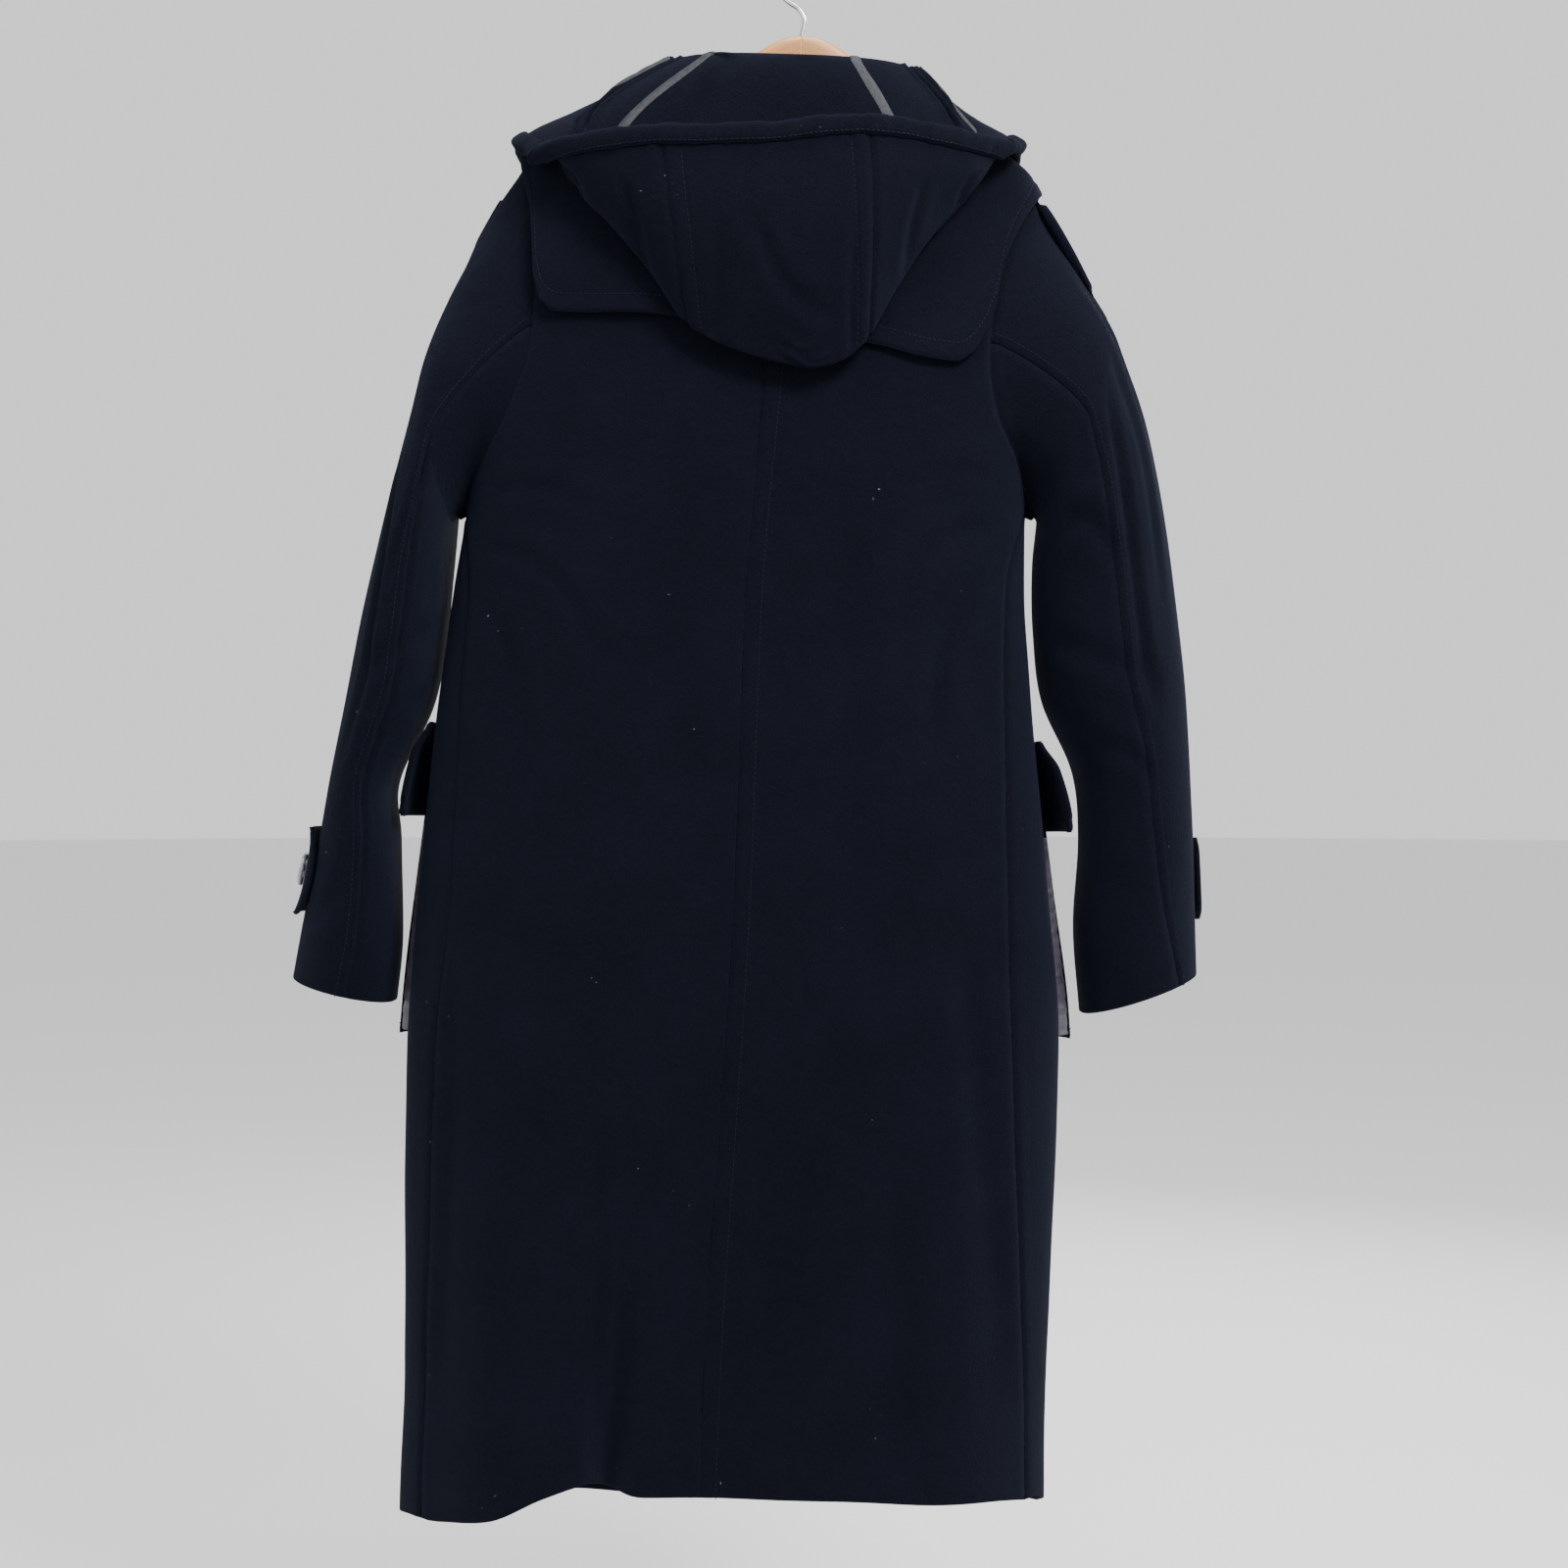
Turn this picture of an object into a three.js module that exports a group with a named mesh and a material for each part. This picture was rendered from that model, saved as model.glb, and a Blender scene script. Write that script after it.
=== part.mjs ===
// A hooded duffle coat hanging on a wooden hanger.
// Millimetres, +Z up. The origin is the point of the hook that rests on a rail.
// -Y is the coat's back, +Y its front, +X the wearer's right.
import * as THREE from 'three';

// Driving sizes
const cloth = 3; // thickness of the melton wall
const seamGap = 0.3; // clearance between two pieces at a seam
const overlap = 64; // how far the right front laps over the left one
const bindingWidth = 7.5; // tape over the hood's inner seams
const rollHeight = 15; // turned and padded edge of the hood
const rollDepth = 9;
const rollGap = 0.9; // between the roll and the panels' edges
const buttonDiameter = 24.5;
const wireDiameter = 3.8; // hook
const hookRadius = 20; // middle of the hook's bend to the wire's centre line
const hangerTop = -62; // top of the wood at its middle
const hangerSpan = { left: -186, right: 158 };

// Body: rings from the hem to the neck, outer face of the cloth
const bodyRings = [
  { z: -1165, left: -294, right: 177, back: 86, front: 70, roundness: 2.5 },
  { z: -1110, left: -293, right: 177, back: 85, front: 70, roundness: 2.5 },
  { z: -1035, left: -290, right: 179, back: 84, front: 69, roundness: 2.5 },
  { z: -900, left: -290, right: 185, back: 84, front: 68, roundness: 2.5 },
  { z: -800, left: -288, right: 188, back: 84, front: 67, roundness: 2.5 },
  { z: -690, left: -280, right: 180, back: 84, front: 66, roundness: 2.5 },
  { z: -610, left: -272, right: 173, back: 83, front: 65, roundness: 2.5 },
  { z: -540, left: -264, right: 167, back: 82, front: 64, roundness: 2.5 },
  { z: -470, left: -254, right: 163, back: 81, front: 63, roundness: 2.5 },
  { z: -412, left: -245, right: 163, back: 79, front: 62, roundness: 2.5 },
  { z: -360, left: -239, right: 165, back: 76, front: 60, roundness: 2.5 },
  { z: -290, left: -229, right: 168, back: 70, front: 57, roundness: 2.5 },
  { z: -230, left: -221, right: 172, back: 62, front: 52, roundness: 2.4 },
  { z: -190, left: -214, right: 172, back: 56, front: 48, roundness: 2.3 },
  { z: -172, left: -209, right: 165, back: 52, front: 46, roundness: 2.3 },
  { z: -154, left: -198, right: 145, back: 49, front: 44, roundness: 2.2 },
  { z: -125, left: -146, right: 105, back: 44, front: 42, roundness: 2.1 },
  { z: -100, left: -96, right: 76, back: 40, front: 41, roundness: 2 },
  { z: -84, left: -66, right: 60, back: 37, front: 40, roundness: 2 },
];

// Folds of the hanging cloth: troughs go in, and a negative depth stands out
const bodyFolds = [
  { face: 'back', hemX: -138, topX: -120, topZ: -860, halfWidth: 13, depth: 20 },
  { face: 'back', hemX: -72, topX: -62, topZ: -640, halfWidth: 62, depth: 20 },
  { face: 'back', hemX: -218, topX: -190, topZ: -720, halfWidth: 42, depth: -14 },
  { face: 'back', hemX: 104, topX: 70, topZ: -620, halfWidth: 52, depth: -12 },
  { face: 'front', hemX: -190, topX: -170, topZ: -700, halfWidth: 50, depth: -12 },
  { face: 'front', hemX: -112, topX: -102, topZ: -760, halfWidth: 44, depth: 8 },
  { face: 'front', hemX: 95, topX: 80, topZ: -680, halfWidth: 45, depth: -14 },
];

// Lower edge of the coat, from its left side to its right side
const backHem = [
  { x: -294, z: -1133 },
  { x: -262, z: -1133 },
  { x: -236, z: -1130 },
  { x: -200, z: -1124 },
  { x: -160, z: -1107 },
  { x: -138, z: -1101 },
  { x: -116, z: -1110 },
  { x: -70, z: -1113 },
  { x: 6, z: -1110 },
  { x: 60, z: -1112 },
  { x: 118, z: -1116 },
  { x: 177, z: -1124 },
];
const frontHem = [
  { x: -294, z: -1133 },
  { x: -220, z: -1144 },
  { x: -120, z: -1153 },
  { x: -20, z: -1153 },
  { x: 90, z: -1143 },
  { x: 177, z: -1124 },
];

// Seams of the body, by height
const centreBackSeam = [
  { z: -1120, x: -73 },
  { z: -1000, x: -68 },
  { z: -865, x: -59 },
  { z: -690, x: -48 },
  { z: -483, x: -40 },
  { z: -324, x: -26 },
  { z: -200, x: -15 },
  { z: -84, x: -4 },
];
const sideSeams = {
  left: [
    { z: -1140, x: -272 },
    { z: -1056, x: -270 },
    { z: -891, x: -265 },
    { z: -804, x: -262 },
    { z: -690, x: -250 },
    { z: -540, x: -243 },
    { z: -470, x: -239 },
    { z: -412, x: -245.2 },
  ],
  right: [
    { z: -1140, x: 160 },
    { z: -1037, x: 158 },
    { z: -890, x: 152 },
    { z: -737, x: 147 },
    { z: -610, x: 145 },
    { z: -540, x: 144 },
    { z: -470, x: 146 },
    { z: -412, x: 163.2 },
  ],
};

// Armholes: where the sleeve is set into the body, the same on back and front
const armholes = {
  left: {
    top: -158,
    bottom: -412,
    edge: [
      { z: -412, x: -245.2 },
      { z: -402, x: -242.2 },
      { z: -386, x: -235 },
      { z: -350, x: -214 },
      { z: -300, x: -195 },
      { z: -250, x: -191 },
      { z: -200, x: -194 },
      { z: -172, x: -200 },
      { z: -158, x: -201 },
    ],
  },
  right: {
    top: -182,
    bottom: -412,
    edge: [
      { z: -412, x: 163.2 },
      { z: -402, x: 161.8 },
      { z: -386, x: 158 },
      { z: -345, x: 139 },
      { z: -310, x: 134 },
      { z: -275, x: 137 },
      { z: -240, x: 144 },
      { z: -205, x: 158 },
      { z: -182, x: 171.5 },
    ],
  },
};

// Sleeves: rings below the armhole, by their outer and inner points
const sleeveRings = {
  left: [
    { outX: -274, outZ: -304, inX: -256, inZ: -420, depth: 66, middle: 0 },
    { outX: -298, outZ: -396, inX: -258, inZ: -452, depth: 70, middle: 2 },
    { outX: -316, outZ: -465, inX: -263, inZ: -500, depth: 70, middle: 6 },
    { outX: -330, outZ: -531, inX: -273, inZ: -554, depth: 64, middle: 6 },
    { outX: -343, outZ: -595, inX: -299, inZ: -610, depth: 56, middle: 8 },
    { outX: -353, outZ: -646, inX: -297, inZ: -652, depth: 54, middle: 8 },
    { outX: -366, outZ: -707, inX: -296, inZ: -722, depth: 53, middle: 12 },
    { outX: -376, outZ: -753, inX: -301, inZ: -772, depth: 51, middle: 16 },
  ],
  right: [
    { outX: 231, outZ: -290, inX: 173, inZ: -420, depth: 60, middle: 0 },
    { outX: 253, outZ: -352, inX: 170, inZ: -452, depth: 62, middle: 2 },
    { outX: 268, outZ: -430, inX: 171, inZ: -500, depth: 62, middle: 5 },
    { outX: 279, outZ: -516, inX: 177, inZ: -550, depth: 58, middle: 6 },
    { outX: 285, outZ: -580, inX: 200, inZ: -602, depth: 54, middle: 10 },
    { outX: 288, outZ: -636, inX: 205, inZ: -650, depth: 52, middle: 12 },
    { outX: 291, outZ: -697, inX: 202, inZ: -715, depth: 50, middle: 16 },
    { outX: 293, outZ: -752, inX: 207, inZ: -781, depth: 48, middle: 20 },
  ],
};
// How far the sleeve keeps the body's direction below the armhole, at its outer and inner point
const sleeveStart = { left: { outer: 118, inner: 15 }, right: { outer: 92, inner: 15 } };
// Where the sleeve's back seam runs, in degrees round the sleeve from its outer edge
const sleeveBackSeam = {
  left: [{ along: 0, turn: 90 }, { along: 0.3, turn: 100 }, { along: 0.8, turn: 114 }, { along: 1, turn: 105 }],
  right: [{ along: 0, turn: 90 }, { along: 0.4, turn: 88 }, { along: 0.75, turn: 86 }, { along: 1, turn: 56 }],
};
const sleeveFrontSeam = -120;

// Yoke: the lower edge of the shoulder cape between its two rounded corners
const yokeEdge = [
  { x: -184, z: -269 },
  { x: -174, z: -278 },
  { x: -150, z: -280 },
  { x: -113, z: -282 },
  { x: -60, z: -289 },
  { x: 0, z: -297 },
  { x: 51, z: -304 },
  { x: 84, z: -312 },
  { x: 106, z: -314 },
  { x: 120, z: -305 },
  { x: 128, z: -290 },
];

// Neck seam, by its angle round the neck
const neckline = [
  { angle: -180, z: -158 },
  { angle: -140, z: -138 },
  { angle: -90, z: -103 },
  { angle: -45, z: -101 },
  { angle: 0, z: -103 },
  { angle: 45, z: -104 },
  { angle: 90, z: -110 },
  { angle: 140, z: -140 },
  { angle: 180, z: -158 },
];

const colours = {
  wool: 0x14161f,
  lining: 0x4b4454,
  tape: 0x6f7278,
  wood: 0xc79a63,
  steel: 0xb9bcc0,
  pearl: 0x8a8c96,
  horn: 0x4a3626,
  leather: 0x1b1a1d,
};

// A value read smoothly from a table, between the rows on each side of "at"
function readTable(rows, key, column, at) {
  const rising = rows[0][key] < rows[rows.length - 1][key];
  const ordered = rising ? rows : [...rows].reverse();
  const last = ordered.length - 1;
  if (at <= ordered[0][key]) return ordered[0][column];
  if (at >= ordered[last][key]) return ordered[last][column];
  let i = 0;
  while (at > ordered[i + 1][key]) i += 1;
  const slope = (j) => {
    const a = Math.max(j - 1, 0);
    const b = Math.min(j + 1, last);
    const left = j > 0 ? (ordered[j][column] - ordered[a][column]) / (ordered[j][key] - ordered[a][key]) : null;
    const right = j < last ? (ordered[b][column] - ordered[j][column]) / (ordered[b][key] - ordered[j][key]) : null;
    if (left === null) return right;
    if (right === null) return left;
    return left * right <= 0 ? 0 : 2 * left * right / (left + right);
  };
  const from = ordered[i];
  const to = ordered[i + 1];
  const width = to[key] - from[key];
  const t = (at - from[key]) / width;
  const t2 = t * t;
  const t3 = t2 * t;
  return (2 * t3 - 3 * t2 + 1) * from[column] + (t3 - 2 * t2 + t) * width * slope(i)
    + (-2 * t3 + 3 * t2) * to[column] + (t3 - t2) * width * slope(i + 1);
}

const mix = (a, b, t) => a + (b - a) * t;
const smooth = (t) => {
  const s = Math.min(Math.max(t, 0), 1);
  return s * s * (3 - 2 * s);
};
const radians = THREE.MathUtils.degToRad;
const degrees = THREE.MathUtils.radToDeg;

// The body's ring at a height
function ringAt(z) {
  const value = (column) => readTable(bodyRings, 'z', column, z);
  const left = value('left');
  const right = value('right');
  return {
    middle: (left + right) / 2,
    half: (right - left) / 2,
    back: value('back'),
    front: value('front'),
    roundness: value('roundness'),
  };
}

// How far the folds push the cloth in at x and z
function foldDepth(face, x, z) {
  return bodyFolds.filter((fold) => fold.face === face).reduce((sum, fold) => {
    const down = smooth((fold.topZ - z) / (fold.topZ + 1150));
    const centre = mix(fold.topX, fold.hemX, down);
    const off = (x - centre) / fold.halfWidth;
    return sum + fold.depth * down * Math.exp(-off * off);
  }, 0);
}

// A point of the body's outer face: 0 degrees is the centre back, 90 the right side
function bodyFace(angle, z) {
  const ring = ringAt(z);
  const s = Math.sin(radians(angle));
  const c = Math.cos(radians(angle));
  const face = c > 0 ? 'back' : 'front';
  const x = ring.middle + ring.half * s;
  const round = Math.max(1 - Math.abs(s) ** ring.roundness, 0) ** (1 / ring.roundness);
  const depth = (ring[face] - foldDepth(face, x, z)) * round;
  return new THREE.Vector3(x, c > 0 ? -depth : depth, z);
}

// The same point moved out of the cloth by "out"
function bodyPoint(angle, z, out = 0) {
  const point = bodyFace(angle, z);
  if (out === 0) return point;
  const around = bodyFace(angle + 1.5, z).sub(bodyFace(angle - 1.5, z));
  const up = bodyFace(angle, z + 3).sub(bodyFace(angle, z - 3));
  return point.addScaledVector(around.cross(up).normalize(), out);
}

// The angle at which the body's ring reaches x
function angleAt(x, z, face = 'back') {
  const ring = ringAt(z);
  const s = Math.min(Math.max((x - ring.middle) / ring.half, -1), 1);
  const angle = degrees(Math.asin(s));
  if (face === 'back') return angle;
  return angle >= 0 ? 180 - angle : -180 - angle;
}

// A closed wall between two grids of points
function wallGeometry(outer, inner, closed = false) {
  const rows = outer.length;
  const columns = outer[0].length;
  const positions = [];
  [outer, inner].forEach((grid) => grid.forEach((row) => row.forEach((p) => positions.push(p.x, p.y, p.z))));
  const at = (side, i, j) => side * rows * columns + i * columns + (j % columns);
  const index = [];
  const quad = (a, b, c, d) => index.push(a, b, c, a, c, d);
  const spans = closed ? columns : columns - 1;
  for (let i = 0; i < rows - 1; i += 1) {
    for (let j = 0; j < spans; j += 1) {
      quad(at(0, i, j), at(0, i, j + 1), at(0, i + 1, j + 1), at(0, i + 1, j));
      quad(at(1, i, j), at(1, i + 1, j), at(1, i + 1, j + 1), at(1, i, j + 1));
    }
  }
  for (let j = 0; j < spans; j += 1) {
    quad(at(0, 0, j), at(1, 0, j), at(1, 0, j + 1), at(0, 0, j + 1));
    quad(at(0, rows - 1, j), at(0, rows - 1, j + 1), at(1, rows - 1, j + 1), at(1, rows - 1, j));
  }
  if (!closed) {
    for (let i = 0; i < rows - 1; i += 1) {
      quad(at(0, i, 0), at(0, i + 1, 0), at(1, i + 1, 0), at(1, i, 0));
      quad(at(0, i, columns - 1), at(1, i, columns - 1), at(1, i + 1, columns - 1), at(0, i + 1, columns - 1));
    }
  }
  const geometry = new THREE.BufferGeometry();
  geometry.setAttribute('position', new THREE.Float32BufferAttribute(positions, 3));
  geometry.setIndex(index);
  if (signedVolume(geometry) < 0) {
    for (let k = 0; k < index.length; k += 3) [index[k + 1], index[k + 2]] = [index[k + 2], index[k + 1]];
    geometry.setIndex(index);
  }
  geometry.computeVertexNormals();
  return geometry;
}

function signedVolume(geometry) {
  const p = geometry.getAttribute('position');
  const index = geometry.getIndex();
  const a = new THREE.Vector3();
  const b = new THREE.Vector3();
  const c = new THREE.Vector3();
  let sum = 0;
  for (let k = 0; k < index.count; k += 3) {
    a.fromBufferAttribute(p, index.getX(k));
    b.fromBufferAttribute(p, index.getX(k + 1));
    c.fromBufferAttribute(p, index.getX(k + 2));
    sum += a.dot(b.cross(c));
  }
  return sum;
}

// Pulls the edges of a grid back, so that the next piece is a seam's gap away
function pullEdges(grid, sides, amount = seamGap / 2) {
  const rows = grid.length;
  const columns = grid[0].length;
  const pull = (i, j, di, dj) => {
    const point = grid[i][j];
    const way = grid[i + di][j + dj].clone().sub(point);
    point.addScaledVector(way.normalize(), amount);
  };
  if (sides.includes('first')) for (let i = 0; i < rows; i += 1) pull(i, 0, 0, 1);
  if (sides.includes('last')) for (let i = 0; i < rows; i += 1) pull(i, columns - 1, 0, -1);
  if (sides.includes('bottom')) for (let j = 0; j < columns; j += 1) pull(0, j, 1, 0);
  if (sides.includes('top')) for (let j = 0; j < columns; j += 1) pull(rows - 1, j, -1, 0);
  return grid;
}

// A wall from a surface that takes (across, along, out), each 0 to 1 but the last
function clothWall({ surface, across, along, from = -cloth, to = 0, pulled = [], gap = seamGap / 2 }) {
  const grid = (out) => along.map((v) => across.map((u) => surface(u, v, out)));
  return wallGeometry(pullEdges(grid(to), pulled, gap), pullEdges(grid(from), pulled, gap));
}

const steps = (count) => Array.from({ length: count + 1 }, (_, i) => i / count);

const coat = new THREE.Group();
function addPiece(name, geometry, colour, roughness = 0.95, metalness = 0) {
  const material = new THREE.MeshStandardMaterial({ color: colour, roughness, metalness });
  const mesh = new THREE.Mesh(geometry, material);
  mesh.name = name;
  coat.add(mesh);
  return mesh;
}

// The body's panels
const sides = { left: -1, right: 1 };
const layerGap = 1.9; // between two layers that lie on each other
const lapStep = cloth + layerGap;

// Turns round the armhole where the body's rows and the sleeve's columns meet
const armholeTurns = [0, 12, 25, 45, 65, 90, 105, 120, 140, 160, 180];
const armholeZ = (side, turn) => mix(
  armholes[side].top,
  armholes[side].bottom,
  (1 - Math.cos(radians(turn))) / 2,
);
const rowsBelow = [-1114, -1080, -1030, -965, -890, -810, -730, -650, -575, -505, -450];

// Heights of the rows of a panel at its outer edge
function panelRows(side) {
  const bottom = readTable(backHem, 'x', 'z', seamFoot[side]);
  const top = readTable(neckline, 'angle', 'z', sides[side] * 90);
  const hole = armholeTurns.map((turn) => armholeZ(side, turn)).reverse();
  const shoulder = [1 / 3, 2 / 3, 1].map((t) => mix(armholes[side].top, top, t));
  const levels = [bottom, ...rowsBelow, ...hole, ...shoulder];
  return levels.map((z) => (z - bottom) / (top - bottom));
}
const seamFoot = { left: -272, right: 160 };

// The angle of a panel's outer edge: its side seam, then the armhole, then the shoulder
function panelEdge(side, face, z) {
  const hole = armholes[side];
  if (z >= hole.top - 1e-6) return sides[side] * 90;
  if (z > hole.bottom + 1e-6) return angleAt(readTable(hole.edge, 'z', 'x', z), z, face);
  return angleAt(readTable(sideSeams[side], 'z', 'x', z), z, 'back');
}

function backPanel(side) {
  const foot = seamFoot[side];
  return (u, v, out) => {
    const neck = readTable(neckline, 'angle', 'z', sides[side] * 90 * (1 - u));
    const hem = readTable(backHem, 'x', 'z', mix(foot, centreBackSeam[0].x, u));
    const z = mix(hem, neck, v);
    const seam = angleAt(readTable(centreBackSeam, 'z', 'x', z), z);
    return bodyPoint(mix(panelEdge(side, 'back', z), seam, u), z, out);
  };
}

// The front edge of a front runs past the centre front by half the overlap
const centreFront = [
  { z: -1150, x: -60 },
  { z: -700, x: -48 },
  { z: -300, x: -24 },
  { z: -158, x: -8 },
];
const frontEdgeX = (side, z) => readTable(centreFront, 'z', 'x', z) - sides[side] * overlap / 2;
function frontAngle(side, x, z) {
  const ring = ringAt(z);
  return sides[side] * 180 - degrees(Math.asin((x - ring.middle) / ring.half));
}
const neckZ = (angle) => readTable(neckline, 'angle', 'z', angle > 180 ? angle - 360 : angle < -180 ? angle + 360 : angle);

// How far the right front steps out over the left one at x and z
const lapRise = { from: 34, to: 4 }; // past the left front's edge
const lapEndX = (z) => readTable(centreFront, 'z', 'x', z) + overlap / 2;
function lapOut(side, x, z) {
  if (side === 'left') return 0;
  return lapStep * smooth((lapEndX(z) + lapRise.from - x) / (lapRise.from - lapRise.to));
}
// The angle across a front from its side to its front edge, with a row of points along each bend
const frontKnots = {
  left: [{ u: 0, at: 0 }, { u: 1, at: 1 }],
  right: [{ u: 0 }, { u: 0.58 }, { u: 0.68 }, { u: 0.78 }, { u: 1 }],
};
function frontAcross(side, z, u, edge) {
  const limit = frontAngle(side, frontEdgeX(side, z), z);
  if (side === 'left') return mix(edge, limit, u);
  const rise = [lapRise.from, (lapRise.from + lapRise.to) / 2, lapRise.to].map((past) => (
    frontAngle(side, lapEndX(z) + past, z)));
  const stops = [edge, ...rise, limit];
  const knots = frontKnots.right;
  const i = Math.min(knots.findIndex((knot) => knot.u >= u - 1e-9), knots.length - 1);
  if (i === 0) return edge;
  return mix(stops[i - 1], stops[i], (u - knots[i - 1].u) / (knots[i].u - knots[i - 1].u));
}
function frontPoint(side, angle, z, out) {
  const x = bodyFace(angle, z).x;
  return bodyPoint(angle, z, out + lapOut(side, x, z));
}
function frontPanel(side) {
  const foot = seamFoot[side];
  const neckEdge = frontAngle(side, frontEdgeX(side, -158), -158);
  return (u, v, out) => {
    const neck = neckZ(mix(sides[side] * 90, neckEdge, u));
    const footZ = readTable(backHem, 'x', 'z', foot);
    const hemX = mix(foot, frontEdgeX(side, -1150), u);
    const hem = mix(footZ, readTable(frontHem, 'x', 'z', hemX), smooth(u * 4));
    const z = mix(hem, neck, v);
    return frontPoint(side, frontAcross(side, z, u, panelEdge(side, 'front', z)), z, out);
  };
}

// Sleeves
function armholePoint(side, turn, out = 0) {
  const z = armholeZ(side, turn);
  const face = Math.sin(radians(turn)) >= 0 ? 'back' : 'front';
  if (Math.abs(Math.sin(radians(turn))) < 1e-9 && Math.cos(radians(turn)) > 0) {
    return bodyPoint(sides[side] * 90, z, out);
  }
  return bodyPoint(angleAt(readTable(armholes[side].edge, 'z', 'x', z), z, face), z, out);
}

function sleeveRingPoint(side, ring, turn) {
  const c = Math.cos(radians(turn));
  const s = Math.sin(radians(turn));
  const x = (ring.outX + ring.inX) / 2 + (ring.outX - ring.inX) / 2 * c;
  const z = (ring.outZ + ring.inZ) / 2 + (ring.outZ - ring.inZ) / 2 * c;
  return new THREE.Vector3(x, ring.middle - ring.depth * s, z);
}

const capShare = 0.3; // share of "along" that the sleeve head takes
function hermite(a, aWay, b, bWay, t) {
  const t2 = t * t;
  const t3 = t2 * t;
  return a.clone().multiplyScalar(2 * t3 - 3 * t2 + 1)
    .addScaledVector(aWay, t3 - 2 * t2 + t)
    .addScaledVector(b, -2 * t3 + 3 * t2)
    .addScaledVector(bWay, t3 - t2);
}

// A point of the sleeve's outer face: turn 0 is its outer edge, 90 the back
function sleeveFace(side, turn, along) {
  const rings = sleeveRings[side];
  const points = rings.map((ring) => sleeveRingPoint(side, ring, turn));
  if (along >= capShare) {
    const last = points.length - 1;
    const at = Math.min((along - capShare) / (1 - capShare) * last, last - 1e-6);
    const i = Math.floor(at);
    const way = (k) => points[Math.min(k + 1, last)].clone().sub(points[Math.max(k - 1, 0)])
      .multiplyScalar(k > 0 && k < last ? 0.5 : 1);
    return hermite(points[i], way(i), points[i + 1], way(i + 1), at - i);
  }
  const start = armholePoint(side, turn);
  const normal = armholePoint(side, turn, 1).sub(start);
  const edge = armholePoint(side, turn + 2).sub(armholePoint(side, turn - 2));
  const off = edge.cross(normal).normalize().multiplyScalar(-sides[side]);
  const inward = (1 - Math.cos(radians(turn))) / 2;
  const length = mix(sleeveStart[side].outer, sleeveStart[side].inner, inward);
  const down = points[1].clone().sub(points[0]).normalize();
  return hermite(start, off.multiplyScalar(length), points[0], down.multiplyScalar(length), along / capShare);
}

function sleevePoint(side, turn, along, out = 0) {
  const point = sleeveFace(side, turn, along);
  if (out === 0) return point;
  const around = sleeveFace(side, turn + 2, along).sub(sleeveFace(side, turn - 2, along));
  const down = sleeveFace(side, turn, Math.min(along + 0.01, 1)).sub(sleeveFace(side, turn, Math.max(along - 0.01, 0)));
  const own = down.cross(around).normalize().multiplyScalar(-sides[side]);
  const body = armholePoint(side, turn, 1).sub(armholePoint(side, turn));
  const normal = body.lerp(own, smooth(along / 0.12)).normalize();
  return point.addScaledVector(normal, out);
}

// Columns of a sleeve's piece at the armhole, spread between its seams further down
function sleevePiece(side, first, last) {
  const turns = [...armholeTurns, ...armholeTurns.map((turn) => 360 - turn), ...armholeTurns.map((turn) => -turn)];
  const own = [...new Set(turns)].filter((turn) => turn >= first.turn && turn <= last.turn).sort((a, b) => a - b);
  const surface = (u, v, out) => {
    const start = mix(first.at(v), last.at(v), (u - first.turn) / (last.turn - first.turn));
    return sleevePoint(side, start, v, out);
  };
  return { surface, across: own };
}
const sleeveAlong = [0, 0.03, 0.08, 0.15, 0.22, 0.3, 0.4, 0.5, 0.6, 0.7, 0.8, 0.9, 1];

// Yoke: a cape over both shoulders, open at the front
const yokeTopGap = 5; // it stops short of the neck, inside the hood's fold
const yokeColumnStep = 11.4; // degrees between its columns across the back
const yokeGap = 2.8; // clear of the panels under it
const yokeInset = 1.2; // its side edges lie this much above and inside the armhole
const yokeSideTurns = { left: [0, 6, 12, 18, 25, 35, 48, 65, 74], right: [0, 6, 12, 18, 25, 35, 48, 65, 78] };
function yokeColumns() {
  const sideEdge = (side) => yokeSideTurns[side].map((turn) => {
    const z = armholeZ(side, turn) + yokeInset;
    const edge = panelEdge(side, 'back', z);
    return { angle: turn === 0 ? edge : edge - sides[side] * yokeInset, z };
  });
  const foot = yokeEdge.map(({ x, z }) => ({ angle: angleAt(x, z), z }));
  const edge = [...sideEdge('left'), ...foot, ...sideEdge('right').reverse()];
  const more = [];
  for (let angle = yokeColumnStep - 90; angle < 90; angle += yokeColumnStep) {
    if (angle > foot[0].angle + 3 && angle < foot[foot.length - 1].angle - 3) {
      more.push({ angle, z: readTable(foot, 'angle', 'z', angle) });
    }
  }
  const back = [...edge, ...more].sort((one, other) => one.angle - other.angle);
  const frontZ = -292;
  const front = (side) => {
    const sign = sides[side];
    const limitX = side === 'right' ? frontEdgeX('right', frontZ) : frontEdgeX('right', frontZ) - 2.5;
    const ends = side === 'right' ? frontKnots.right.slice(1, 4).map(({ u }) => frontAcross('right', frontZ, u, 90)) : [];
    const limit = frontAngle(side, limitX, frontZ) - (side === 'right' ? yokeInset : 0);
    const first = Math.abs(ends[0] ?? limit);
    const list = back.filter(({ angle }) => Math.sign(angle) === sign && Math.abs(angle) < 90)
      .map(({ angle, z }) => ({ angle: sign * (180 - Math.abs(angle)), z }))
      .filter(({ angle }) => Math.abs(angle) < first - 3);
    return [...list, ...[...ends, limit].map((angle) => ({ angle, z: frontZ }))]
      .sort((one, other) => one.angle - other.angle);
  };
  return [...front('left'), ...back, ...front('right')];
}
const yokeList = yokeColumns();
const yokeRows = steps(5);
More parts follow.
